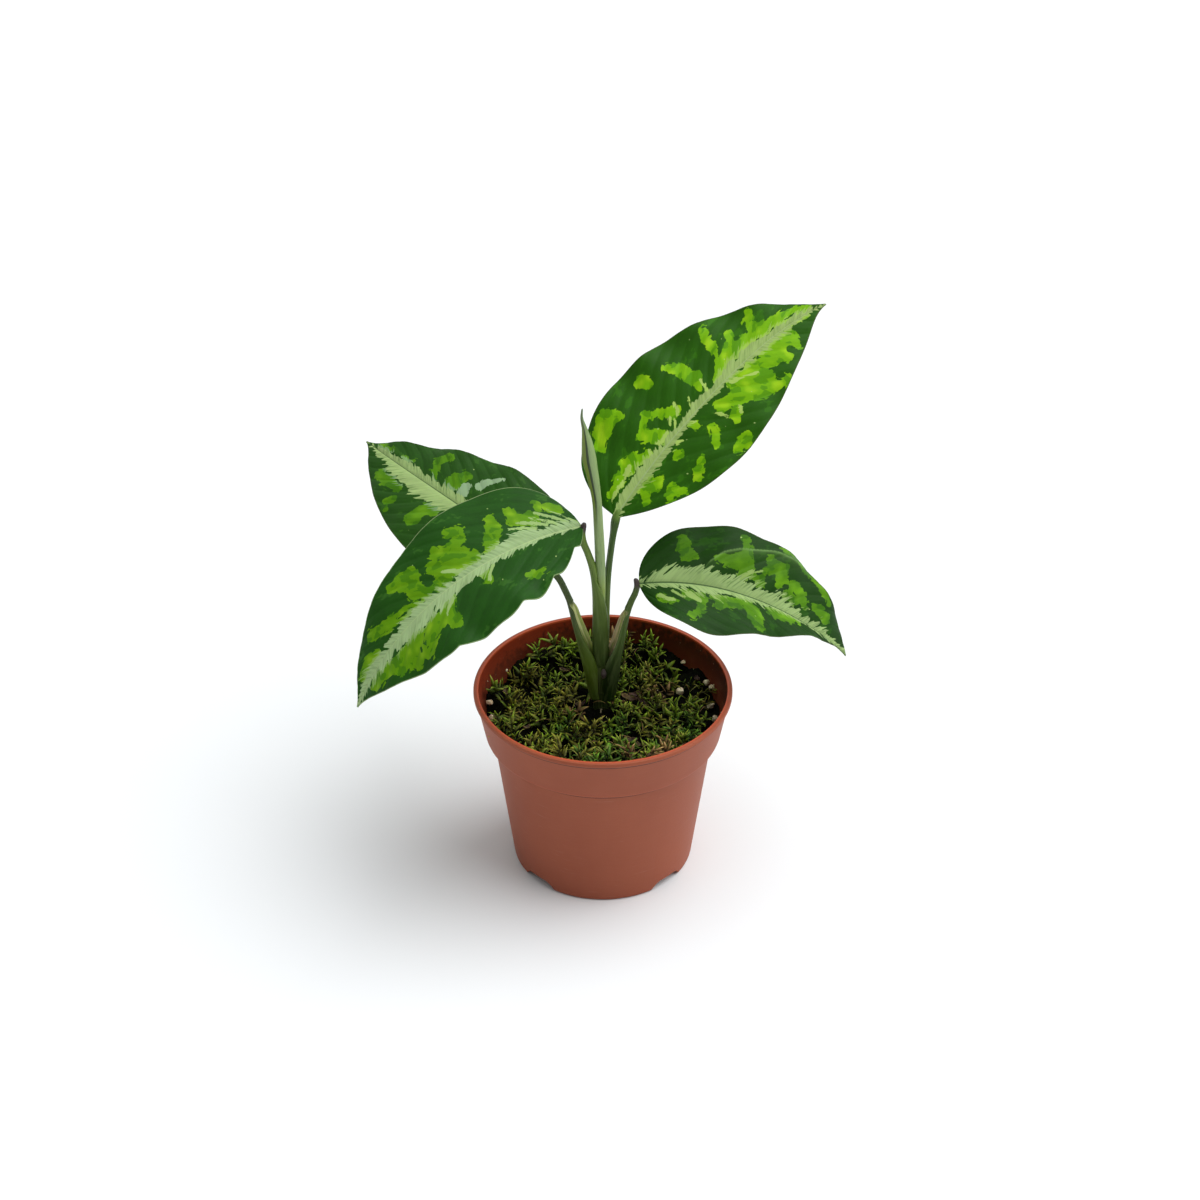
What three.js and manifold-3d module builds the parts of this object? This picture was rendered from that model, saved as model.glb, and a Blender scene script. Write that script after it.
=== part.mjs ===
// A young Chinese evergreen with camouflage leaves, growing in a small plastic nursery pot.
//
// Millimetres, +Z up. The origin is the centre of the pot's underside, on the pot's axis.
// The viewer stands on the -Y side, so +X is to the right.
//
// The pot is a thin shell of revolution with arched notches in its foot. Soil fills it, a mat
// of moss sprigs covers the soil, and the plant's short cane stands in a hole through both.
// Each leaf is a thin waved blade on its own petiole, whose sheath clasps the cane.

import * as THREE from 'three';
import { mergeVertices } from 'three/addons/utils/BufferGeometryUtils.js';
import Module from 'manifold-3d';

const wasm = await Module();
wasm.setup();

// ---------------------------------------------------------------- driving dimensions

const GAP = 0.3; // clearance between pieces that touch
const OVERRUN = 1; // how far a cutter runs past the face that it cuts

const POT = {
  height: 81.5,
  rimRadius: 52.5,
  lipHeight: 1.9,
  collarTopRadius: 51.5,
  collarFootRadius: 48.3,
  collarDepth: 19.4, // from the rim down to the step
  stepRise: 2, // height of the sloped step under the collar
  bodyTopRadius: 45,
  bodyFootRadius: 37.4,
  footRounding: 1.4,
  wall: 1.3,
  sides: 60,
};

const NOTCH = {
  count: 4,
  firstAngle: 45, // degrees from +X, so that one foot faces the viewer
  footWidth: 17,
  crownWidth: 9,
  height: 4,
  innerEnd: 22, // distance from the axis to the channel's inner end
  drainRadius: 3.5,
  drainAt: 27, // distance from the axis to the drainage hole
};

const SOIL_TOP = 63.5;

const MOSS = {
  thickness: 3.2,
  swell: 0.9, // height of the mat's low mounds
  rings: 7,
  sides: 40,
  sprigs: 190,
  sprigLength: 6.8, // larger than life, as is their radius
  sprigRadius: 1.4,
  leastLean: 0.2, // radians from upright
  mostLean: 0.95,
  seed: 11,
};

const GRAIN = { radius: 1.25, seed: 5 };
// where each loose grain lies: distance from the pot's axis, and degrees from +X
const GRAIN_PLACES = [
  { name: 'grain_1', out: 44.5, angle: 8 },
  { name: 'grain_2', out: 45.5, angle: -4 },
  { name: 'grain_3', out: 44, angle: -19 },
  { name: 'grain_4', out: 36, angle: 27 },
  { name: 'grain_5', out: 45, angle: 184 },
];

const CANE = {
  x: -0.4,
  y: 4.6,
  bottom: 50,
  top: 92,
  buriedRadius: 3,
  neckRadius: 3.6, // at the moss
  shoulderRadius: 4.1, // where the sheaths leave it
  topRadius: 3.5,
  sides: 16,
};

const STEM_SIDES = 12;
const STEPS_PER_STATION = 2;

const BLADE = {
  thickness: 0.8,
  keel: 1.3, // how far the midrib stands out underneath at the base
  keelHalfWidth: 1.3,
  tipHalfWidth: 0.35,
  dripTip: 0.075, // share of the length over which the tip is drawn out
  rows: 28,
  columns: [0.3, 0.54, 0.78, 1], // shares of the half width, outside the midrib
};

// Each blade: where its base is, how its midrib runs (heading and pitch in degrees, turning
// evenly by `sweep` and `droop` over its length), how it is rolled about the midrib, the arch
// of its two halves, and the fullness and margin wave of the halves left and right of the
// heading. Lengths are in millimetres.
const LEAVES = {
  a: {
    base: [5, 7.8, 157.3],
    heading: 32.5, sweep: -6, rise: 49, droop: 30,
    length: 119.5, halfWidth: 29, roll: 32, twist: -2, fold: 12, curl: 19,
    left: { share: 1.11, basePower: 0.44, tipPower: 0.86, wave: 1.5, waves: 5.5, phase: 295 },
    right: { share: 0.89, basePower: 0.9, tipPower: 1.17, wave: 0.7, waves: 4.8, phase: 224 },
  },
  b: {
    base: [-8.4, 2.6, 156.3],
    heading: 205, sweep: -9, rise: 4, droop: 69,
    length: 119, halfWidth: 28.4, roll: -20, twist: -10, fold: 13, curl: 18,
    left: { share: 0.93, basePower: 0.75, tipPower: 1.02, wave: 1.7, waves: 4, phase: 289 },
    right: { share: 1.07, basePower: 0.43, tipPower: 0.92, wave: 0.8, waves: 3.6, phase: 279 },
  },
  c: {
    base: [-27.7, 3.4, 140.8],
    heading: 133, sweep: -19, rise: 9.5, droop: 9,
    length: 104.5, halfWidth: 27.5, roll: -25, twist: -7, fold: 9, curl: 21,
    left: { share: 0.94, basePower: 0.57, tipPower: 1, wave: 0.6, waves: 5, phase: 222 },
    right: { share: 1.06, basePower: 0.33, tipPower: 0.93, wave: 1.2, waves: 3.9, phase: 335 },
  },
  d: {
    base: [14.3, 0.6, 130.8],
    heading: 8, sweep: 7, rise: 5.5, droop: 64,
    length: 100.5, halfWidth: 24.7, roll: 30, twist: 1, fold: 17, curl: 12,
    left: { share: 1, basePower: 0.46, tipPower: 0.8, wave: 0.9, waves: 4.6, phase: 216 },
    right: { share: 1, basePower: 0.66, tipPower: 1.55, wave: 1.8, waves: 3.3, phase: 289 },
  },
};

// Stems are round tubes through stations [x, y, z, radius].
const SPEAR = [
  [-0.9, 4.2, 92.3, 1.3],
  [-0.8, 4.2, 112, 1.6],
  [-0.9, 4.1, 130, 1.9],
  [-1.2, 4, 142, 2],
  [-1.7, 4, 155, 1.9],
  [-2.4, 4, 168, 1.9],
  [-4, 4, 179, 2.4],
  [-5.3, 4, 187, 2.7],
  [-6, 4, 193, 2.1],
  [-7, 4, 199, 1.1],
  [-8.1, 4, 204, 0.55],
  [-7.9, 4, 208, 0.3],
];

const PETIOLES = {
  a: {
    stations: [
      [1.1, 6.2, 92.3, 1.4],
      [1.2, 6.3, 105, 1.4],
      [1.4, 6.6, 118, 1.4],
      [2, 7.2, 131, 1.35],
      [3, 7.6, 141, 1.3],
      [4.2, 7.8, 151, 1.3],
      [5.2, 8, 157.5, 1.3],
      [6.6, 8.7, 160.5, 1.2],
    ],
  },
  b: {
    stations: [
      [-0.6, 4.4, 92.3, 3.45],
      [-0.8, 4.2, 104, 3.45],
      [-1, 4, 116, 3.2],
      [-1.8, 3.7, 126, 2.7],
      [-3.5, 3.2, 136, 1.9],
      [-6, 2.7, 144, 1.4],
      [-8.6, 2.5, 150.5, 1.35],
      [-10.4, 2.2, 154.2, 1.35],
      [-11.4, 1.9, 157.2, 1.3],
    ],
  },
  c: {
    stations: [
      [-2.2, 4, 73.5, 3.2],
      [-3.6, 3.9, 83, 3.5],
      [-5.6, 3.8, 93, 3.3],
      [-8, 3.8, 103, 2.9],
      [-10.6, 3.8, 112.5, 2.1],
      [-13.4, 3.8, 121.5, 1.45],
      [-18, 3.6, 132, 1.35],
      [-24, 3.7, 137.6, 1.35],
      [-29.4, 5, 140.2, 1.3],
    ],
    groove: { toward: [0.75, -0.55, 0], depth: 1.7, share: 0.78, from: 1, to: 5 },
  },
  d: {
    stations: [
      [1.7, 3.6, 73.5, 3.2],
      [2.6, 3, 82, 3.7],
      [3.9, 2.3, 92, 3.5],
      [5.5, 1.8, 101, 3],
      [7.2, 1.4, 109.5, 2.5],
      [9, 1.1, 117, 1.8],
      [11.2, 0.9, 122.5, 1.4],
      [13.8, 0.8, 127.4, 1.35],
      [16.2, 0.9, 130.6, 1.3],
    ],
    groove: { toward: [-0.9, -0.1, 0], depth: 1.7, share: 0.75, from: 1, to: 5 },
  },
};

const BUD = { radius: 1.1, height: 2.1, z: 88.5, angle: -80 };

// ---------------------------------------------------------------- materials

/** A plain standard material: colour, roughness and metalness. */
function finish(color, roughness) {
  return new THREE.MeshStandardMaterial({ color, roughness, metalness: 0 });
}

const materials = {
  plastic: () => finish(0x9c5540, 0.55),
  soil: () => finish(0x2a1d14, 1),
  moss: () => finish(0x4f6a1d, 0.95),
  grain: () => finish(0xe6dfcf, 0.9),
  stem: () => finish(0x5f7d3c, 0.6),
  spear: () => finish(0x7d9a56, 0.55),
  leaf: () => finish(0x2f6b1d, 0.45),
};

// ---------------------------------------------------------------- small tools

const radians = THREE.MathUtils.degToRad;

/** A repeatable source of numbers from 0 to 1 for the scattered pieces. */
function randomFrom(seed) {
  let state = seed >>> 0;
  return () => {
    state = (Math.imul(state, 1664525) + 1013904223) >>> 0;
    return state / 4294967296;
  };
}

/** Turn a closed three.js geometry into a solid that can be cut and joined. */
function solidOf(geometry) {
  const bare = geometry.clone();
  bare.deleteAttribute('normal');
  bare.deleteAttribute('uv');
  const merged = mergeVertices(bare, 1e-4);
  const mesh = new wasm.Mesh({
    numProp: 3,
    vertProperties: new Float32Array(merged.attributes.position.array),
    triVerts: new Uint32Array(merged.index.array),
  });
  return new wasm.Manifold(mesh);
}

/** Turn a solid back into a three.js geometry. */
function geometryOf(solid) {
  const mesh = solid.getMesh();
  const geometry = new THREE.BufferGeometry();
  geometry.setAttribute('position', new THREE.BufferAttribute(mesh.vertProperties, 3));
  geometry.setIndex(new THREE.BufferAttribute(mesh.triVerts, 1));
  geometry.computeVertexNormals();
  return geometry;
}

/** A named mesh of one solid. */
function piece(name, solid, material) {
  const mesh = new THREE.Mesh(geometryOf(solid), material());
  mesh.name = name;
  return mesh;
}

/** A solid of revolution about +Z from [radius, height] points, listed from the bottom up. */
function turned(points, sides) {
  const profile = points.map(([radius, height]) => new THREE.Vector2(radius, height));
  const geometry = new THREE.LatheGeometry(profile, sides);
  geometry.rotateX(Math.PI / 2);
  return solidOf(geometry);
}

/** Join rings of points (all alike in number) into a closed skin with flat fans at the ends. */
function skinOf(rings) {
  const count = rings[0].length;
  const positions = rings.flat().flatMap((point) => point.toArray());
  const faces = [];
  for (let ring = 0; ring + 1 < rings.length; ring += 1) {
    for (let side = 0; side < count; side += 1) {
      const next = (side + 1) % count;
      const low = ring * count;
      const high = low + count;
      faces.push(low + side, low + next, high + next);
      faces.push(low + side, high + next, high + side);
    }
  }
  const last = (rings.length - 1) * count;
  for (let side = 1; side + 1 < count; side += 1) {
    faces.push(0, side + 1, side);
    faces.push(last, last + side, last + side + 1);
  }
  const geometry = new THREE.BufferGeometry();
  geometry.setAttribute('position', new THREE.Float32BufferAttribute(positions, 3));
  geometry.setIndex(faces);
  return geometry;
}

/** A round stem of changing radius through stations [x, y, z, radius]. */
function stemSolid(stations, grow = 0) {
  const curve = new THREE.CatmullRomCurve3(
    stations.map(([x, y, z]) => new THREE.Vector3(x, y, z)), false, 'centripetal');
  const steps = (stations.length - 1) * STEPS_PER_STATION;
  const depthways = new THREE.Vector3(0, 1, 0);
  const rings = [];
  for (let step = 0; step <= steps; step += 1) {
    const t = step / steps;
    const centre = curve.getPoint(t);
    const along = curve.getTangent(t);
    const front = depthways.clone().addScaledVector(along, -depthways.dot(along)).normalize();
    const sideways = new THREE.Vector3().crossVectors(front, along);
    const place = t * (stations.length - 1);
    const from = Math.min(Math.floor(place), stations.length - 2);
    const radius = grow + THREE.MathUtils.lerp(
      stations[from][3], stations[from + 1][3], place - from);
    const ring = [];
    for (let side = 0; side < STEM_SIDES; side += 1) {
      const angle = (2 * Math.PI * side) / STEM_SIDES;
      ring.push(centre.clone()
        .addScaledVector(sideways, radius * Math.cos(angle))
        .addScaledVector(front, radius * Math.sin(angle)));
    }
    rings.push(ring);
  }
  return solidOf(skinOf(rings));
}

// ---------------------------------------------------------------- pot

/** The wedge-shaped channel under one notch, grown outwards by `grow` on every side. */
function notchSolid(index, grow) {
  const foot = NOTCH.footWidth / 2 + grow;
  const crown = NOTCH.crownWidth / 2 + grow;
  const roof = NOTCH.height + grow;
  const shape = new THREE.Shape();
  shape.moveTo(-foot, -OVERRUN);
  shape.lineTo(foot, -OVERRUN);
  shape.lineTo(foot, 0);
  shape.quadraticCurveTo(crown + 1.5, roof, crown - 1, roof);
  shape.lineTo(1 - crown, roof);
  shape.quadraticCurveTo(-crown - 1.5, roof, -foot, 0);
  const innerEnd = NOTCH.innerEnd - grow;
  const depth = POT.bodyFootRadius + OVERRUN * 3 - innerEnd;
  const geometry = new THREE.ExtrudeGeometry(shape, { depth, bevelEnabled: false, curveSegments: 4 });
  geometry.translate(0, 0, innerEnd);
  geometry.rotateX(Math.PI / 2);
  geometry.rotateZ(Math.PI);
  geometry.rotateZ(Math.PI / 2 + notchAngle(index));
  return solidOf(geometry);
}

/** Direction of one foot notch, in radians from +X. */
function notchAngle(index) {
  return radians(NOTCH.firstAngle) + (2 * Math.PI * index) / NOTCH.count;
}

/** The pot's inside, from its floor up, shrunk inwards by `inset`. */
function potInside(top, inset) {
  const shoulder = POT.height - POT.collarDepth;
  const inner = POT.wall + inset;
  return turned([
    [0, inner],
    [POT.bodyFootRadius - inner, inner],
    [POT.bodyTopRadius - inner, shoulder - POT.stepRise],
    [POT.collarFootRadius - inner, shoulder],
    [POT.collarFootRadius - inner + (top - shoulder) * collarSlope(), top],
    [0, top],
  ], POT.sides);
}

/** How much the collar's radius grows for each millimetre of height. */
function collarSlope() {
  return (POT.collarTopRadius - POT.collarFootRadius) / (POT.collarDepth - POT.lipHeight);
}

/** Thin tapered shell with a lip, a collar, four arched foot notches and drainage holes. */
function buildPot() {
  const shoulder = POT.height - POT.collarDepth;
  const lipFoot = POT.height - POT.lipHeight;
  const round = POT.footRounding;
  const shell = turned([
    [0, 0],
    [POT.bodyFootRadius - round, 0],
    [POT.bodyFootRadius - round * 0.3, round * 0.3],
    [POT.bodyFootRadius, round],
    [POT.bodyTopRadius, shoulder - POT.stepRise],
    [POT.collarFootRadius - 0.4, shoulder - 0.4],
    [POT.collarFootRadius, shoulder + 0.3],
    [POT.collarTopRadius, lipFoot],
    [POT.rimRadius - 0.2, lipFoot + 0.1],
    [POT.rimRadius, lipFoot + 0.5],
    [POT.rimRadius, POT.height - 0.5],
    [POT.rimRadius - 0.3, POT.height],
    [0, POT.height],
  ], POT.sides);
  let inside = potInside(POT.height + OVERRUN, 0);
  for (let index = 0; index < NOTCH.count; index += 1) {
    inside = inside.subtract(notchSolid(index, POT.wall));
  }
  let pot = shell.subtract(inside);
  for (let index = 0; index < NOTCH.count; index += 1) {
    pot = pot.subtract(notchSolid(index, 0)).subtract(drainSolid(index));
  }
  return pot;
}

/** The cutter for the drainage hole in the roof of one foot channel. */
function drainSolid(index) {
  const drain = new THREE.CylinderGeometry(
    NOTCH.drainRadius, NOTCH.drainRadius, NOTCH.height + POT.wall + OVERRUN * 2, 16);
  drain.rotateX(Math.PI / 2);
  drain.translate(NOTCH.drainAt, 0, (NOTCH.height + POT.wall) / 2);
  drain.rotateZ(notchAngle(index));
  return solidOf(drain);
}

// ---------------------------------------------------------------- soil, moss and grains

/** A plain upright hole for the cane, `clear` wider than the cane all round. */
function caneHole(clear) {
  const hole = new THREE.CylinderGeometry(
    CANE.neckRadius + clear, CANE.neckRadius + clear, CANE.top, CANE.sides);
  hole.rotateX(Math.PI / 2);
  hole.translate(CANE.x, CANE.y, CANE.bottom - GAP + CANE.top / 2);
  return solidOf(hole);
}

/** Height of the moss mat's upper side: low mounds that fade towards the wall. */
function mossHeight(x, y) {
  const mounds = Math.sin(x * 0.19 + 1) * Math.cos(y * 0.23 - 0.6) + Math.sin((x + y) * 0.11);
  return SOIL_TOP + GAP + MOSS.thickness + MOSS.swell * 0.5 * mounds;
}

/** The potting mix: fills the pot below the moss. */
function buildSoil() {
  let soil = potInside(SOIL_TOP, GAP);
  for (let index = 0; index < NOTCH.count; index += 1) {
    soil = soil.subtract(notchSolid(index, POT.wall + GAP));
  }
  return soil.subtract(caneHole(GAP));
}

/** One moss sprig: a three-sided spike rooted in the mat, leaning towards `direction`. */
function sprigSolid(x, y, lean, direction, length) {
  const sprig = new THREE.ConeGeometry(MOSS.sprigRadius, length, 3);
  sprig.translate(0, length / 2, 0);
  sprig.rotateX(Math.PI / 2);
  sprig.rotateY(lean);
  sprig.rotateZ(direction);
  sprig.translate(x, y, mossHeight(x, y) - MOSS.thickness * 0.35);
  return solidOf(sprig);
}

/** What sprigs lean away from: the cane and the loose grains. */
function mossObstacles() {
  const grains = GRAIN_PLACES.map((place) => {
    const { x, y } = grainCentre(place);
    return { x, y, radius: GRAIN.radius };
  });
  return [{ x: CANE.x, y: CANE.y, radius: CANE.neckRadius }, ...grains];
}

/** The mat: a low mounded disc that fills the pot from the cane to the wall. */
function mossMat(outer) {
  const rings = [];
  const bottom = SOIL_TOP + GAP;
  const under = [];
  for (let side = 0; side < MOSS.sides; side += 1) {
    const angle = (2 * Math.PI * side) / MOSS.sides;
    under.push(new THREE.Vector3(outer * Math.cos(angle), outer * Math.sin(angle), bottom));
  }
  rings.push(under);
  for (let ring = 0; ring < MOSS.rings; ring += 1) {
    const radius = outer * (1 - ring / MOSS.rings);
    const upper = [];
    for (let side = 0; side < MOSS.sides; side += 1) {
      const angle = (2 * Math.PI * side) / MOSS.sides;
      const x = radius * Math.cos(angle);
      const y = radius * Math.sin(angle);
      upper.push(new THREE.Vector3(x, y, mossHeight(x, y)));
    }
    rings.push(upper);
  }
  return solidOf(skinOf(rings));
}

/** Where a grain's centre lies, pressed into the moss by half its height. */
function grainCentre(place) {
  const x = place.out * Math.cos(radians(place.angle));
  const y = place.out * Math.sin(radians(place.angle));
  return new THREE.Vector3(x, y, mossHeight(x, y) + GRAIN.radius * 0.6);
}

/** One rough mineral grain, grown outwards by `grow`. */
function grainSolid(place, index, grow) {
  const grain = new THREE.IcosahedronGeometry(GRAIN.radius + grow, 1);
  const random = randomFrom(GRAIN.seed + index);
  const centre = grainCentre(place);
  grain.scale(0.85 + 0.3 * random(), 0.85 + 0.3 * random(), 0.8);
  grain.rotateZ(random() * Math.PI);
  grain.translate(centre.x, centre.y, centre.z);
  return solidOf(grain);
}

/** The moss: the mat with its scattered sprigs, open round the cane and the grains. */
function buildMoss() {
  const random = randomFrom(MOSS.seed);
  const outer = wallRadius(SOIL_TOP) - GAP;
  const parts = [mossMat(outer)];
  const obstacles = mossObstacles();
  const golden = Math.PI * (3 - Math.sqrt(5));
  for (let index = 0; index < MOSS.sprigs; index += 1) {
    const radius = (outer - 2 * MOSS.sprigRadius) * Math.sqrt((index + 0.5) / MOSS.sprigs);
    const angle = index * golden + (random() - 0.5) * 0.4;
    const x = radius * Math.cos(angle);
    const y = radius * Math.sin(angle);
    const lean = THREE.MathUtils.lerp(MOSS.leastLean, MOSS.mostLean, random());
    const length = MOSS.sprigLength * (0.7 + 0.5 * random());
    let direction = random() * 2 * Math.PI;
    if (radius > outer - MOSS.sprigLength) direction = angle + Math.PI + (random() - 0.5);
    const near = obstacles.find((obstacle) => (
      Math.hypot(x - obstacle.x, y - obstacle.y) < obstacle.radius + MOSS.sprigLength));
    if (near) {
      direction = Math.atan2(y - near.y, x - near.x);
      const away = Math.hypot(x - near.x, y - near.y);
      if (away < near.radius + MOSS.sprigRadius + 2 * GAP) continue;
    }
    parts.push(sprigSolid(x, y, lean, direction, length));
  }
  let moss = wasm.Manifold.union(parts);
  moss = moss.intersect(potInside(POT.height, GAP));
  moss = moss.subtract(caneHole(GAP));
  GRAIN_PLACES.forEach((place, index) => {
    moss = moss.subtract(grainSolid(place, index, GAP));
  });
  return moss;
}

/** Radius of the pot's inner wall at a height above the step. */
function wallRadius(height) {
  const shoulder = POT.height - POT.collarDepth;
  return POT.collarFootRadius - POT.wall + (height - shoulder) * collarSlope();
}

// ---------------------------------------------------------------- plant

/** The short cane, standing in its hole in the soil, with one small bud on its front. */
function buildCane() {
  const cane = turned([
    [0, CANE.bottom],
    [CANE.buriedRadius, CANE.bottom],
    [CANE.neckRadius, CANE.bottom + 12],
    [CANE.neckRadius, SOIL_TOP + MOSS.thickness + 3],
    [CANE.shoulderRadius, SOIL_TOP + MOSS.thickness + 10],
    [CANE.shoulderRadius, CANE.top - 8],
    [CANE.topRadius, CANE.top - 2],
    [CANE.topRadius, CANE.top],
    [0, CANE.top],
  ], CANE.sides).translate(CANE.x, CANE.y, 0);
  const bud = new THREE.SphereGeometry(BUD.radius, 8, 6);
  bud.scale(1, 1, BUD.height / BUD.radius);
  bud.translate(CANE.shoulderRadius, 0, BUD.z);
  bud.rotateZ(radians(BUD.angle));
  bud.translate(CANE.x, CANE.y, 0);
  return cane.add(solidOf(bud));
}

/** Space that the cane needs, `grow` wider all round. */
function caneSpace(grow) {
  const space = new THREE.CylinderGeometry(
    CANE.shoulderRadius + grow, CANE.shoulderRadius + grow, CANE.top - CANE.bottom + grow, CANE.sides);
  space.rotateX(Math.PI / 2);
  space.translate(CANE.x, CANE.y, (CANE.top + CANE.bottom + grow) / 2);
  return solidOf(space);
}

/** Half width of one side of a blade at a share of its length: full middle, drawn-out tip. */
function halfWidthAt(plan, side, share) {
  const { basePower, tipPower } = side;
  const widest = basePower / (basePower + tipPower);
  const peak = widest ** basePower * (1 - widest) ** tipPower;
  const full = (share ** basePower * (1 - share) ** tipPower) / peak;
  const drawnOut = 1 - 0.45 * Math.exp(-(((1 - share) / BLADE.dripTip) ** 2));
  const least = THREE.MathUtils.lerp(BLADE.keelHalfWidth, BLADE.tipHalfWidth, Math.sqrt(share));
  return Math.hypot(plan.halfWidth * side.share * full * drawnOut, least);
}

/** The midrib's point and the blade's own directions at each row, from base to tip. */
function bladeFrames(plan) {
  const frames = [];
  const point = new THREE.Vector3(...plan.base);
  const directionAt = (share) => {
    const heading = radians(plan.heading + plan.sweep * (share - 0.5));
    const pitch = radians(plan.rise - plan.droop * share);
    return new THREE.Vector3(
      Math.cos(pitch) * Math.cos(heading), Math.cos(pitch) * Math.sin(heading), Math.sin(pitch));
  };
  for (let row = 0; row <= BLADE.rows; row += 1) {
    const share = row / BLADE.rows;
    const along = directionAt(share);
    const level = new THREE.Vector3(0, 0, 1).cross(along).normalize();
    const roll = radians(plan.roll + plan.twist * (share - 0.5));
    const leftward = level.clone().applyAxisAngle(along, roll);
    const upward = new THREE.Vector3().crossVectors(along, leftward);
    frames.push({ share, point: point.clone(), along, leftward, upward });
    point.addScaledVector(directionAt(share + 0.5 / BLADE.rows), plan.length / BLADE.rows);
  }
  return frames;
}

/** A point of the arched, waved blade: `across` runs from -1 (right edge) to 1 (left edge). */
function bladePoint(plan, frame, across, halfWidth) {
  const side = across < 0 ? plan.right : plan.left;
  const reach = Math.abs(across);
  const fold = radians(plan.fold);
  const curl = radians(plan.curl);
  const outward = (Math.sin(fold) - Math.sin(fold - curl * reach)) / curl;
  const upward = (Math.cos(fold - curl * reach) - Math.cos(fold)) / curl;
  const fade = Math.min(1, halfWidth / (0.4 * plan.halfWidth));
  const wave = side.wave * reach ** 2 * fade
    * Math.sin(2 * Math.PI * side.waves * frame.share + radians(side.phase));
  return frame.point.clone()
    .addScaledVector(frame.leftward, Math.sign(across) * outward * halfWidth)
    .addScaledVector(frame.upward, upward * halfWidth + wave);
}

/**
 * One blade as a closed thin solid, split into triangles alike on both faces.
 * `below`, `above` and `behind` grow it downwards, upwards and backwards from its base.
 */
function bladeSolid(plan, { below = 0, above = 0, behind = 0 } = {}) {
  const frames = bladeFrames(plan);
  frames[0].point.addScaledVector(frames[0].along, -behind);
  const rings = frames.map((frame) => {
    const row = [];
    for (const [side, sign] of [[plan.right, -1], [plan.left, 1]]) {
      const halfWidth = halfWidthAt(plan, side, frame.share);
      const keelShare = Math.min(BLADE.keelHalfWidth / halfWidth, 0.2);
      const shares = [keelShare, ...BLADE.columns];
      if (sign < 0) shares.reverse();
      for (const share of shares) row.push({ across: sign * share, halfWidth, keel: 0 });
      if (sign < 0) row.push({ across: 0, halfWidth, keel: 1 - frame.share ** 1.5 });
    }
    const upper = [];
    const lower = [];
    for (const { across, halfWidth, keel } of row) {
      const middle = bladePoint(plan, frame, across, halfWidth);
      const half = BLADE.thickness / 2;
      upper.push(middle.clone().addScaledVector(frame.upward, half + above));
      lower.push(middle.clone().addScaledVector(
        frame.upward, -half - below - BLADE.keel * keel));
    }
    return { upper, lower };
  });
  return solidOf(pairedSkin(rings));
}

/** Skin over matching upper and lower rows of points, with the same diagonals on both. */
function pairedSkin(rows) {
  const width = rows[0].upper.length;
  const positions = rows.flatMap(({ upper, lower }) => [...upper, ...lower])
    .flatMap((point) => point.toArray());
  const upper = (row, column) => row * width * 2 + column;
  const lower = (row, column) => upper(row, column) + width;
  const faces = [];
  const quad = (a, b, c, d) => faces.push(a, b, c, a, c, d);
  for (let row = 0; row + 1 < rows.length; row += 1) {
    for (let column = 0; column + 1 < width; column += 1) {
      faces.push(upper(row, column), upper(row + 1, column), upper(row + 1, column + 1));
      faces.push(upper(row, column), upper(row + 1, column + 1), upper(row, column + 1));
      faces.push(lower(row, column), lower(row + 1, column + 1), lower(row + 1, column));
      faces.push(lower(row, column), lower(row, column + 1), lower(row + 1, column + 1));
    }
    const end = width - 1;
    quad(upper(row, 0), lower(row, 0), lower(row + 1, 0), upper(row + 1, 0));
    quad(upper(row, end), upper(row + 1, end), lower(row + 1, end), lower(row, end));
  }
  const tip = rows.length - 1;
  for (let column = 0; column + 1 < width; column += 1) {
    quad(upper(0, column), upper(0, column + 1), lower(0, column + 1), lower(0, column));
    quad(upper(tip, column), lower(tip, column), lower(tip, column + 1), upper(tip, column + 1));
  }
  const geometry = new THREE.BufferGeometry();
  geometry.setAttribute('position', new THREE.Float32BufferAttribute(positions, 3));
  geometry.setIndex(faces);
  return geometry;
}

/** The channel that opens a sheath towards the column. */
function grooveSolid(petiole) {
  const { toward, depth, share, from, to } = petiole.groove;
  const stations = petiole.stations.slice(from, to).map(([x, y, z, radius]) => [
    x + toward[0] * depth, y + toward[1] * depth, z + toward[2] * depth, radius * share]);
  return stemSolid(stations);
}

/** One petiole with its sheath, cut back to clear the cane and its own blade. */
function buildPetiole(name) {
  const petiole = PETIOLES[name];
  let solid = stemSolid(petiole.stations);
  if (petiole.groove) solid = solid.subtract(grooveSolid(petiole));
  const seat = bladeSolid(LEAVES[name], { below: GAP, above: 9, behind: GAP });
  return solid.subtract(seat).subtract(caneSpace(GAP));
}

// ---------------------------------------------------------------- the whole object

const plant = new THREE.Group();
plant.add(piece('pot', buildPot(), materials.plastic));
plant.add(piece('soil', buildSoil(), materials.soil));
plant.add(piece('moss', buildMoss(), materials.moss));
GRAIN_PLACES.forEach((place, index) => {
  plant.add(piece(place.name, grainSolid(place, index, 0), materials.grain));
});
plant.add(piece('cane', buildCane(), materials.stem));

const spearSpace = stemSolid(SPEAR, GAP);
const petioleASpace = stemSolid(PETIOLES.a.stations, GAP);
const columnSpace = stemSolid(PETIOLES.b.stations, GAP);
const petiolesByName = {
  a: buildPetiole('a').subtract(spearSpace),
  b: buildPetiole('b').subtract(spearSpace).subtract(petioleASpace),
  c: buildPetiole('c').subtract(columnSpace),
  d: buildPetiole('d').subtract(columnSpace).subtract(petioleASpace),
};
plant.add(piece('spear', stemSolid(SPEAR), materials.spear));
for (const [name, solid] of Object.entries(petiolesByName)) {
  plant.add(piece(`petiole_${name}`, solid, materials.stem));
  plant.add(piece(`leaf_${name}`, bladeSolid(LEAVES[name]), materials.leaf));
}

export default plant;
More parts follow.
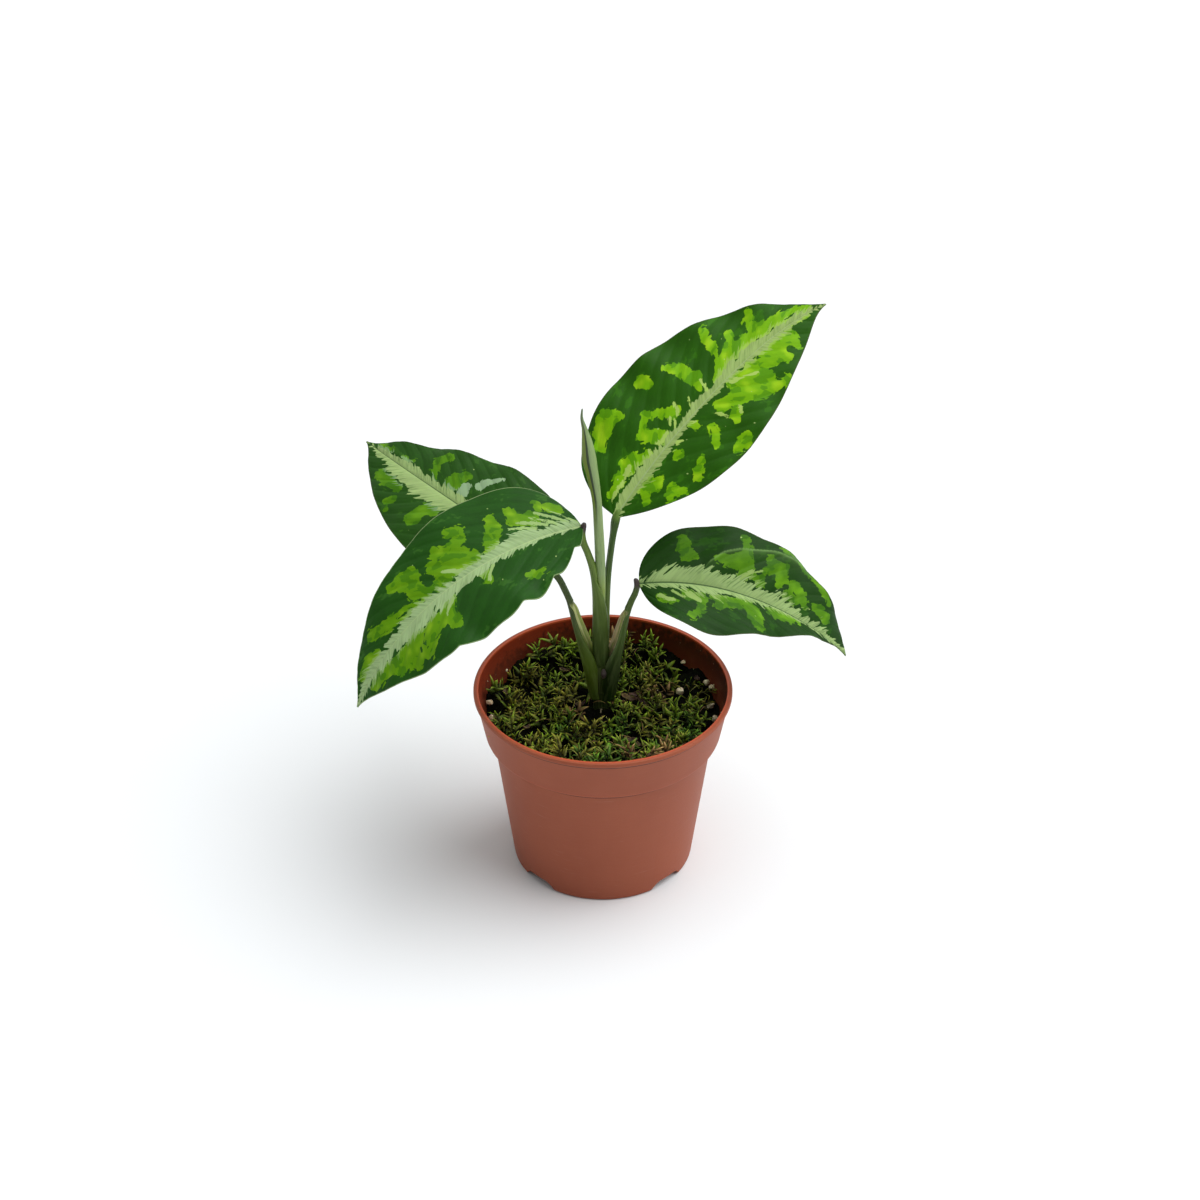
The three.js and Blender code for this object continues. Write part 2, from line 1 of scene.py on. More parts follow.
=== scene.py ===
"""Looks of a young camouflage-leaved evergreen in a small plastic nursery pot.

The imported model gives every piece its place. The pieces here follow the same driving sizes,
in millimetres, and ``finished`` turns each mesh to metres. The origin is the middle of the
pot's underside, +Z is up and the viewer stands on the -Y side.
"""

import logging
import random
from dataclasses import dataclass
from enum import Enum
from math import atan2, cos, exp, hypot, pi, radians, sin, sqrt, tau
from math import log as logarithm
from typing import Callable, Dict, List, Optional, Sequence, Tuple, Union

import bmesh
import bpy
import numpy as np
from mathutils import Matrix, Vector


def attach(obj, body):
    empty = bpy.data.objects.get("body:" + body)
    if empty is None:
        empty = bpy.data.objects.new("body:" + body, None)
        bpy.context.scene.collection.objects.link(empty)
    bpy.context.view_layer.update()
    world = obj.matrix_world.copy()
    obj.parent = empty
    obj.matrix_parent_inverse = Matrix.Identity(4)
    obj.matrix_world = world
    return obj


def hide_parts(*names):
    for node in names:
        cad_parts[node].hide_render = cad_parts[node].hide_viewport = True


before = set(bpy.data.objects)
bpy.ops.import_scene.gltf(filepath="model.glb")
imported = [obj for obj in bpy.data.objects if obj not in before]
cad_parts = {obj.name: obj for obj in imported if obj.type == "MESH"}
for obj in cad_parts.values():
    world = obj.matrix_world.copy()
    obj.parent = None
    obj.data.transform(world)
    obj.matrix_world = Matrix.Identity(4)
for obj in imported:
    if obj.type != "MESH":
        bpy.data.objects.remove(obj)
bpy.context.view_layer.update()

log = logging.getLogger("potted_evergreen")

MM = 0.001  # metres in a millimetre
BODY = "root"  # the one body that everything rides on
GOLDEN_TURN = pi * (3 - sqrt(5))  # turn between neighbours of an even scatter

Point = Tuple[float, float]
Triple = Tuple[float, float, float]
Rows = Sequence[Sequence[float]]
Colour = Tuple[float, float, float, float]
Array = np.ndarray
Marks = Dict[str, Array]
Editor = bmesh.types.BMesh
Mesh = bpy.types.Mesh
Object = bpy.types.Object
Material = bpy.types.Material
Socket = bpy.types.NodeSocket


# ---- small tools


def rgb(red: float, green: float, blue: float) -> Colour:
    """Turn a screen colour of 0 to 255 into the linear colour that shaders use."""
    linear = [((value / 255 + 0.055) / 1.055) ** 2.4 for value in (red, green, blue)]
    return (linear[0], linear[1], linear[2], 1.0)


def polar(out: float, angle: float) -> Point:
    """Give the place at a distance from the axis, at an angle from +X."""
    return (out * cos(angle), out * sin(angle))


def smooth(values: Array, low: float, high: float) -> Array:
    """Ease from 0 at ``low`` to 1 at ``high``."""
    share = np.clip((values - low) / (high - low), 0, 1)
    return share * share * (3 - 2 * share)


def through(rows: Rows, share: Array) -> Array:
    """Run a smooth curve through stations, at an even pace.

    Args:
        rows: A row of numbers for each station, its place first.
        share: Places along the curve, from 0 to 1.

    Returns:
        A row of numbers for each place.
    """
    stations = np.array(rows, float)
    chords = np.linalg.norm(np.diff(stations[:, :3], axis=0), axis=1)
    paces = np.concatenate([[0.0], np.cumsum(chords)])
    slopes = np.diff(stations, axis=0) / chords[:, None]
    weights = (chords[1:] / (chords[1:] + chords[:-1]))[:, None]
    inner = slopes[:-1] * weights + slopes[1:] * (1 - weights)
    tangents = np.vstack([slopes[:1], inner, slopes[-1:]])
    place = np.clip(share, 0, 1) * paces[-1]
    start = np.clip(np.searchsorted(paces, place, side="right") - 1, 0, len(chords) - 1)
    chord = chords[start][:, None]
    t = (place - paces[start])[:, None] / chord
    return (
        (1 + 2 * t) * (1 - t) ** 2 * stations[start]
        + t * (1 - t) ** 2 * chord * tangents[start]
        + t ** 2 * (3 - 2 * t) * stations[start + 1]
        - t ** 2 * (1 - t) * chord * tangents[start + 1]
    )


def coordinates(mesh: Mesh) -> Array:
    """Read a mesh's vertices as rows of x, y and z."""
    flat = np.empty(len(mesh.vertices) * 3)
    mesh.vertices.foreach_get("co", flat)
    return flat.reshape(-1, 3)


def paint(mesh: Mesh, name: str, values: Array) -> None:
    """Give each vertex a number, or a vector, that its finish reads.

    Args:
        mesh: The mesh.
        name: What the finish asks for.
        values: A number or a row of three for each vertex.
    """
    kind, key = ("FLOAT_VECTOR", "vector") if values.ndim == 2 else ("FLOAT", "value")
    attribute = mesh.attributes.new(name, kind, "POINT")
    attribute.data.foreach_set(key, values.astype(np.float32).ravel())


def mesh_of(name: str, bm: Editor) -> Mesh:
    """Turn an edited mesh into mesh data and free it."""
    mesh = bpy.data.meshes.new(name)
    bm.to_mesh(mesh)
    bm.free()
    return mesh


def closed(name: str, bm: Editor) -> Mesh:
    """Turn an edited mesh into mesh data with its faces pointing outwards."""
    bmesh.ops.recalc_face_normals(bm, faces=bm.faces)
    return mesh_of(name, bm)


def linked(name: str, data: bpy.types.ID) -> Object:
    """Put an object with some data into the scene."""
    shown = bpy.data.objects.new(name, data)
    bpy.context.scene.collection.objects.link(shown)
    return shown


def finished(
    name: str, mesh: Mesh, material: Material,
    replaces: Sequence[str] = (), sharp_angle: float = 180.0,
) -> None:
    """Make a mesh in millimetres a piece of the object.

    Args:
        name: Its name.
        mesh: Its mesh.
        material: Its finish.
        replaces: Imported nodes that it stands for.
        sharp_angle: Edges that turn by more degrees stay sharp.
    """
    mesh.transform(Matrix.Scale(MM, 4))
    mesh.materials.clear()
    mesh.materials.append(material)
    mesh.shade_smooth()
    if sharp_angle < 180:
        mesh.set_sharp_from_angle(angle=radians(sharp_angle))
    piece = linked(name, mesh)
    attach(piece, BODY)
    if replaces:
        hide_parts(*replaces)
    log.info("%s: %d faces", name, len(mesh.polygons))


def square_sheet(rows: int, columns: int) -> Editor:
    """Make a flat grid from (0, 0) to (1, 1), of so many faces along x and along y."""
    bm = bmesh.new()
    bmesh.ops.create_grid(bm, x_segments=rows, y_segments=columns, size=0.5)
    bmesh.ops.translate(bm, verts=bm.verts, vec=(0.5, 0.5, 0))
    return bm


def wrapped(
    name: str, rows: int, sides: int,
    place: Callable[[Array, Array], Array], marks: Callable[[Array, Array], Marks],
) -> Mesh:
    """Wrap a sheet round into a closed tube.

    Args:
        name: Its name.
        rows: Faces along it.
        sides: Faces round it.
        place: Gives places from shares along and round. Each end comes to one point.
        marks: Gives the named values that the finish reads, from the same shares.

    Returns:
        The closed mesh.
    """
    bm = square_sheet(rows, sides)
    along = np.array([vert.co.x for vert in bm.verts])
    turn = np.array([vert.co.y for vert in bm.verts])
    places = place(along, turn)
    layers = {}
    for key, values in marks(along, turn).items():
        kind = bm.verts.layers.float_vector if values.ndim == 2 else bm.verts.layers.float
        layers[kind.new(key)] = values
    for index, vert in enumerate(bm.verts):
        vert.co = places[index]
        for layer, values in layers.items():
            vert[layer] = values[index]
    bmesh.ops.remove_doubles(bm, verts=bm.verts, dist=1e-4)
    return closed(name, bm)


# ---- shader maths


def operator(operation: str, reflected: bool = False) -> Callable[["Wire", "Number"], "Wire"]:
    """Make the method of an arithmetic operator.

    Args:
        operation: The Math node's operation.
        reflected: True where the wire is the second number.

    Returns:
        The method, which adds the node.
    """

    def method(self: "Wire", other: "Number") -> "Wire":
        """Add the Math node."""
        pair = (other, self) if reflected else (self, other)
        return self.shader.math(operation, *pair)

    return method


class Wire:
    """A number on its way through a material: arithmetic on it adds Math nodes."""

    def __init__(self, shader: "Shader", socket: Socket) -> None:
        """Wrap a socket of a shader."""
        self.shader = shader
        self.socket = socket

    __add__ = operator("ADD")
    __radd__ = operator("ADD", reflected=True)
    __sub__ = operator("SUBTRACT")
    __rsub__ = operator("SUBTRACT", reflected=True)
    __mul__ = operator("MULTIPLY")
    __rmul__ = operator("MULTIPLY", reflected=True)
    __truediv__ = operator("DIVIDE")
    most = operator("MAXIMUM")

    def size(self) -> "Wire":
        """Drop the sign."""
        return self.shader.math("ABSOLUTE", self)

    def between(self, low: float, high: float) -> "Wire":
        """Ease from 0 at ``low`` to 1 at ``high``."""
        settings = {"interpolation_type": "SMOOTHSTEP"}
        inputs = {0: self, 1: low, 2: high, 3: 0.0, 4: 1.0}
        return Wire(self.shader, self.shader.node("ShaderNodeMapRange", settings, inputs).outputs[0])

    def near(self, value: float, reach: float, soft: float) -> "Wire":
        """Give 1 close to a value and 0 beyond a reach, with a soft edge."""
        return (reach - (self - value).size()).between(0, soft)


Number = Union[float, Wire]
Input = Union[float, Wire, Socket, Sequence[float]]
Grain = Union[float, Sequence[float]]  # one size, or one for each direction, in millimetres


@dataclass(frozen=True)
class Glow:
    """How light soaks into a finish: weight, reach of red, green and blue, and their unit."""

    weight: float
    reach: Triple
    unit: float


class Shader:
    """A material that is put together from expressions."""

    def __init__(self, name: str) -> None:
        """Start an empty material."""
        self.material = bpy.data.materials.new(name)
        self.material.use_nodes = True
        self.tree = self.material.node_tree
        self.tree.nodes.clear()

    def node(
        self, kind: str, settings: Optional[dict] = None, inputs: Optional[dict] = None
    ) -> bpy.types.Node:
        """Add a node.

        Args:
            kind: The node's type.
            settings: Properties, set first.
            inputs: Values or links of its sockets, by name or number.

        Returns:
            The node.
        """
        node = self.tree.nodes.new(kind)
        for key, value in (settings or {}).items():
            setattr(node, key, value)
        for key, value in (inputs or {}).items():
            source = value.socket if isinstance(value, Wire) else value
            if isinstance(source, Socket):
                self.tree.links.new(source, node.inputs[key])
            else:
                node.inputs[key].default_value = source
        return node

    def math(self, operation: str, *values: Number) -> Wire:
        """Add a Math node."""
        node = self.node("ShaderNodeMath", {"operation": operation}, dict(enumerate(values)))
        return Wire(self, node.outputs[0])

    def mark(self, name: str) -> Wire:
        """Read a number that the vertices carry."""
        return Wire(self, self.node("ShaderNodeAttribute", {"attribute_name": name}).outputs["Fac"])

    def mark_vector(self, name: str) -> Socket:
        """Read a vector that the vertices carry."""
        return self.node("ShaderNodeAttribute", {"attribute_name": name}).outputs["Vector"]

    def place(self) -> Socket:
        """Give the object's own coordinates in millimetres."""
        return self.counted(self.node("ShaderNodeTexCoord").outputs["Object"], MM)

    def counted(self, vector: Socket, grain: Grain) -> Socket:
        """Count a pattern's coordinates in grains."""
        sizes = grain if isinstance(grain, tuple) else (grain, grain, grain)
        inputs = {"Vector": vector, "Scale": tuple(1 / size for size in sizes)}
        return self.node("ShaderNodeMapping", None, inputs).outputs["Vector"]

    def parts(self, vector: Socket) -> Tuple[Wire, Wire, Wire]:
        """Split a vector into its three numbers."""
        node = self.node("ShaderNodeSeparateXYZ", None, {0: vector})
        return tuple(Wire(self, output) for output in node.outputs)

    def noise(
        self, vector: Socket, grain: Grain, detail: float, roughness: float = 0.5, warp: float = 0.0
    ) -> Wire:
        """Add soft noise.

        Args:
            vector: Coordinates in millimetres.
            grain: Size of its spots.
            detail: How many finer layers it has.
            roughness: How strong they are.
            warp: How far it distorts itself.

        Returns:
            The noise, about 0.5 on average.
        """
        inputs = {
            "Vector": self.counted(vector, grain), "Scale": 1.0, "Detail": detail,
            "Roughness": roughness, "Distortion": warp,
        }
        return Wire(self, self.node("ShaderNodeTexNoise", None, inputs).outputs[0])

    def voronoi(self, vector: Socket, grain: Grain, output: str) -> Socket:
        """Add irregular cells of a given size."""
        inputs = {"Vector": self.counted(vector, grain), "Scale": 1.0}
        return self.node("ShaderNodeTexVoronoi", None, inputs).outputs[output]

    def cells(self, vector: Socket, grain: Grain) -> Wire:
        """Add a random number for each irregular cell."""
        return self.parts(self.voronoi(vector, grain, "Color"))[0]

    def specks(self, vector: Socket, spacing: float) -> Wire:
        """Add the distance from scattered points, in spacings."""
        return Wire(self, self.voronoi(vector, spacing, "Distance"))

    def ridges(self, vector: Socket, grain: Grain) -> Wire:
        """Add noise with sharp crests, 1 on a crest and about 0.8 on average."""
        return 1 - (self.noise(vector, grain, 1) - 0.5).size() * 2

    def mix(self, share: Number, first: Input, second: Input) -> Socket:
        """Mix two colours by a share."""
        settings = {"data_type": "RGBA", "clamp_factor": True}
        return self.node("ShaderNodeMix", settings, {0: share, 6: first, 7: second}).outputs[2]

    def shade(self, colour: Input, amount: Wire) -> Socket:
        """Make a colour lighter or darker by a factor that varies."""
        grey = self.node("ShaderNodeCombineXYZ", None, {0: amount, 1: amount, 2: amount})
        inputs = {0: colour, 1: grey.outputs[0]}
        return self.node("ShaderNodeVectorMath", {"operation": "MULTIPLY"}, inputs).outputs[0]

    def relief(self, height: Wire, depth: float) -> Socket:
        """Raise fine relief from a height of 0 to 1, so many millimetres deep."""
        inputs = {"Height": height, "Distance": depth * MM, "Strength": 1.0}
        return self.node("ShaderNodeBump", None, inputs).outputs["Normal"]

    def close(
        self, colour: Input, roughness: Number, normal: Optional[Socket] = None,
        glow: Optional[Glow] = None, specular: float = 0.5,
    ) -> Material:
        """Finish the material.

        Args:
            colour: Its base colour.
            roughness: Its roughness.
            normal: Its normal, if it has relief.
            glow: How light soaks into it, if it does.
            specular: Strength of its plain reflection.

        Returns:
            The material.
        """
        inputs = {"Base Color": colour, "Roughness": roughness, "Specular IOR Level": specular}
        if normal is not None:
            inputs["Normal"] = normal
        if glow is not None:
            inputs["Subsurface Weight"] = glow.weight
            inputs["Subsurface Radius"] = glow.reach
            inputs["Subsurface Scale"] = glow.unit * MM
        surface = self.node("ShaderNodeBsdfPrincipled", None, inputs)
        self.node("ShaderNodeOutputMaterial", None, {"Surface": surface.outputs[0]})
        return self.material


# ---- finishes


@dataclass(frozen=True)
class PotPlastic:
    """Dull brick-coloured plastic with a dusty bloom and a redder, shinier inside, with painted shade in
    its creases and low on the inner wall, and painted highlights on the lip and the collar's edge.
    """

    outside: Colour = rgb(150, 72, 42)
    dusty: Colour = rgb(161, 84, 55)
    scuffed: Colour = rgb(196, 146, 126)
    inside: Colour = rgb(138, 42, 14)
    # painted shade for the inner wall, darkest towards the soil
    damp: Colour = rgb(24, 11, 6)
    chalk: Colour = rgb(205, 170, 145)
    # painted highlight for the inner edge of the lip, also used on the collar's lower edge
    lip: Colour = rgb(200, 88, 50)
    # painted shade for the creases under the lip and under the collar
    crease_shade: Colour = rgb(66, 28, 18)
    inner_shade_height: float = 78.2  # painted shade on the inner wall fades out about here
    inner_shade_fade: float = 6.0  # height over which it fades
    inner_shade_lean: float = 0.07  # rise of the painted shade per millimetre to the right
    lip_foot: float = 80.5  # the painted highlight on the inner edge of the lip starts here
    lip_shade: float = 78.85  # height of the painted shade under the lip
    collar_shade: float = 59.3  # height of the painted shade under the collar
    ledge_highlight: float = 62.4  # height of the painted highlight on the collar's lower edge
    relief: float = 0.05
    glow: Glow = Glow(0.08, (1.0, 0.35, 0.2), 1.5)

    def material(self) -> Material:
        """Build the material."""
        shader = Shader("pot_plastic")
        place = shader.place()
        inner = shader.mark("inner")
        across, _, height = shader.parts(place)
        lip = shader.mark("lip") * (height - self.lip_foot).between(0, 0.6)
        cloud = shader.noise(place, (26, 26, 34), 4, 0.6)
        drag = shader.noise(place, (9, 9, 0.7), 2)
        grain = shader.noise(place, 0.35, 2, 0.6)
        shade_breakup = shader.noise(place, (2.2, 2.2, 2.6), 5, 0.65)
        chalk = inner * shader.noise(place, (1.6, 1.6, 1.2), 2).between(0.7, 0.75)
        scuff = shader.noise(place, (14, 14, 1.2), 3, 0.7).between(0.62, 0.8)

        colour = shader.mix(cloud * 1.6 + drag * 0.3 - 0.45, self.outside, self.dusty)
        colour = shader.mix(inner, colour, self.inside)
        # painted shade on the inner wall: darker towards the soil, and higher on the right, which faces
        # away from the light
        depth = (self.inner_shade_height + across * self.inner_shade_lean - height) / self.inner_shade_fade
        shaded_low = (depth + (shade_breakup - 0.5) * 3).between(-0.5, 0.6)
        colour = shader.mix(inner * shaded_low * 0.9, colour, self.damp)
        colour = shader.mix(chalk * 0.5, colour, self.chalk)
        # painted highlight on the inner edge of the lip
        colour = shader.mix(lip, colour, self.lip)
        # painted shade: dark lines in the creases under the collar and under the lip, on the outside
        # only
        crease_shading = height.near(self.collar_shade, 0.5, 0.25).most(height.near(self.lip_shade, 0.36, 0.2))
        outer = 1 - inner
        colour = shader.mix(crease_shading * outer * 0.7, colour, self.crease_shade)
        # painted highlight on the collar's lower edge, in the lip's colour
        colour = shader.mix(height.near(self.ledge_highlight, 0.45, 0.35) * outer * 0.18, colour, self.lip)
        colour = shader.mix(scuff * 0.22, colour, self.scuffed)
        colour = shader.shade(colour, 0.94 + 0.12 * grain)
        rough = 0.5 + 0.14 * cloud - 0.1 * inner - 0.12 * lip + 0.08 * scuff
        normal = shader.relief(grain * 0.6 + drag * 0.4, self.relief)
        return shader.close(colour, rough, normal, self.glow, specular=0.35)


@dataclass(frozen=True)
class PottingMix:
    """Dark damp peat with paler fibres."""

    peat: Colour = rgb(34, 23, 16)
    fibre: Colour = rgb(92, 66, 44)
    relief: float = 0.6

    def material(self) -> Material:
        """Build the material."""
        shader = Shader("potting_mix")
        place = shader.place()
        crumbs = shader.cells(place, 1.6)
        threads = shader.noise(place, (0.6, 3.2, 1.5), 4, 0.7, 1.4)
        colour = shader.mix(threads.between(0.58, 0.7) * 0.6, self.peat, self.fibre)
        colour = shader.shade(colour, 0.45 + 0.9 * crumbs)
        normal = shader.relief(crumbs * 0.5 + threads * 0.5, self.relief)
        return shader.close(colour, 0.82 + 0.15 * threads, normal)


class MossTone(Enum):
    """How fresh the shoots of one tuft are: their foot colour and their tip colour."""

    FRESH = (rgb(40, 64, 5), rgb(138, 166, 38))
    OLIVE = (rgb(52, 54, 7), rgb(140, 140, 40))
    DEEP = (rgb(24, 48, 6), rgb(94, 136, 32))
    STRAW = (rgb(88, 96, 26), rgb(184, 188, 96))
    DRY = (rgb(60, 36, 16), rgb(168, 134, 84))
    BROWN = (rgb(46, 26, 18), rgb(134, 96, 78))


@dataclass(frozen=True)
class MossSkin:
    """Translucent little leaves, with painted shade at the foot of a shoot and painted light at its tip.
    """

    tone: MossTone
    wilted: Colour = rgb(166, 150, 74)
    relief: float = 0.12
    glow: Glow = Glow(0.12, (0.5, 0.9, 0.1), 0.6)

    def material(self) -> Material:
        """Build the material."""
        foot, tip = self.tone.value
        shader = Shader(f"moss_{self.tone.name.lower()}")
        place = shader.place()
        rise = shader.mark("rise")
        patch = shader.noise(place, 7, 3, 0.6)
        blotch = shader.noise(place, 1.1, 3, 0.6)
        colour = shader.mix(rise * 0.9 + patch * 0.9 - 0.5, foot, tip)
        wilting = shader.noise(place, (4, 4, 9), 2).between(0.5, 0.66) * rise
        colour = shader.mix(wilting * 0.6, colour, self.wilted)
        # painted shade low on each shoot and painted light at its tip, set by how far up the shoot a
        # point is
        colour = shader.shade(colour, 1.75 * rise * rise * rise + 0.5 * blotch - 0.06)
        normal = shader.relief(blotch, self.relief)
        return shader.close(colour, 0.5 + 0.2 * blotch, normal, self.glow, specular=0.3)


@dataclass(frozen=True)
class MossBed:
    """The felt between the shoots, painted near-black for the shade that lies there."""

    # painted shade: the felt is darker than the peat, for the shade between the shoots
    felt: Colour = rgb(12, 8, 4)
    green: Colour = rgb(20, 24, 5)
    relief: float = 0.9

    def material(self) -> Material:
        """Build the material."""
        shader = Shader("moss_bed")
        place = shader.place()
        patch = shader.noise(place, 5, 4, 0.6)
        fuzz = shader.noise(place, 0.8, 4, 0.7, 0.8)
        colour = shader.mix(patch.between(0.42, 0.62), self.felt, self.green)
        colour = shader.shade(colour, 0.2 + 1.1 * fuzz)
        normal = shader.relief(fuzz, self.relief)
        return shader.close(colour, 0.85 + 0.1 * fuzz, normal, specular=0.1)


@dataclass(frozen=True)
class MineralGrain:
    """Chalky white mineral with tiny pores and a cream stain."""

    chalk: Colour = rgb(252, 236, 204)
    stain: Colour = rgb(206, 158, 112)
    relief: float = 0.25

    def material(self) -> Material:
        """Build the material."""
        shader = Shader("mineral_grain")
        place = shader.place()
        stain = shader.noise(place, 1.4, 3, 0.6)
        pores = shader.noise(place, 0.22, 3, 0.7)
        colour = shader.mix(stain.between(0.45, 0.75), self.chalk, self.stain)
        colour = shader.shade(colour, 0.8 + 0.6 * pores)
        return shader.close(colour, 0.8 + 0.15 * pores, shader.relief(pores, self.relief))


@dataclass(frozen=True)
class StemSkin:
    """Smooth green stem skin, streaked lengthwise, with a pale edge to its sheath."""

    name: str
    low: Colour
    high: Colour
    knee: Colour = rgb(70, 60, 58)  # the bend at the very top
    pale: Colour = rgb(206, 212, 150)  # the sheath's margin, and streaks inside it
    lining: Colour = rgb(132, 158, 74)  # between those streaks
    stripe: Colour = rgb(168, 186, 122)
    deep: Colour = rgb(38, 62, 16)
    light: Point = (78.0, 104.0)  # heights between which the colour turns from low to high
    relief: float = 0.07
    glow: Glow = Glow(0.12, (0.6, 0.9, 0.3), 0.8)

    def material(self) -> Material:
        """Build the material."""
        shader = Shader(self.name)
        skin = shader.mark_vector("skin")
        place = shader.place()
        height = shader.parts(place)[2]
        streak = shader.noise(skin, (0.35, 0.35, 14), 3, 0.55)
        broad = shader.noise(skin, (1.3, 1.3, 30), 2)
        mottle = shader.noise(place, (1.2, 1.2, 2.2), 3, 0.6)
        stripe = streak.between(0.42, 0.62)
        colour = shader.mix(height.between(*self.light), self.low, self.high)
        inner = shader.mix(stripe, self.lining, self.pale)
        colour = shader.mix(shader.mark("inside"), colour, inner)
        colour = shader.mix(stripe * 0.12, colour, self.stripe)
        colour = shader.mix(broad.between(0.5, 0.66) * 0.4, colour, self.deep)
        colour = shader.mix(shader.mark("margin").between(0.35, 0.75), colour, self.pale)
        colour = shader.mix(shader.mark("knee"), colour, self.knee)
        colour = shader.shade(colour, 0.86 + 0.28 * mottle)
        normal = shader.relief(streak * 0.7 + mottle * 0.3, self.relief)
        return shader.close(colour, 0.4 + 0.16 * mottle, normal, self.glow, specular=0.3)


@dataclass(frozen=True)
class RolledLeafSkin:
    """The new leaf, still rolled: pale underside, a dark seam and a yellow-green lap."""

    back: Colour = rgb(150, 174, 112)
    streak: Colour = rgb(112, 140, 88)
    slant: Colour = rgb(86, 118, 62)
    foot: Colour = rgb(146, 170, 62)
    lap: Colour = rgb(118, 138, 52)
    seam: Colour = rgb(40, 58, 20)
    tip: Colour = rgb(96, 112, 84)
    foot_top: float = 136.0  # the yellow foot fades out up to this height
    lap_rise: Point = (150.0, 172.0)  # heights between which the lap's colour comes in
    tip_rise: Point = (196.0, 206.0)
    relief: float = 0.08
    glow: Glow = Glow(0.12, (0.6, 0.9, 0.3), 0.8)

    def material(self) -> Material:
        """Build the material."""
        shader = Shader("rolled_leaf")
        skin = shader.mark_vector("skin")
        height = shader.parts(shader.place())[2]
        streak = shader.noise(skin, (0.4, 0.4, 9), 3, 0.6)
        slant = shader.noise(skin, (0.9, 0.9, 5), 3, 0.6, 0.6)
        tall = height.between(*self.lap_rise)
        colour = shader.mix(streak.between(0.35, 0.65) * 0.5, self.back, self.streak)
        colour = shader.mix(slant.between(0.55, 0.7) * 0.4, colour, self.slant)
        colour = shader.mix((self.foot_top - height).between(0, 12) * 0.7, colour, self.foot)
        colour = shader.mix(shader.mark("lap") * tall, colour, self.lap)
        colour = shader.mix(shader.mark("seam").between(0.3, 0.8) * tall, colour, self.seam)
        colour = shader.mix(height.between(*self.tip_rise) * 0.7, colour, self.tip)
        colour = shader.shade(colour, 0.84 + 0.3 * streak)
        normal = shader.relief(streak, self.relief)
        return shader.close(colour, 0.45 + 0.1 * slant, normal, self.glow)


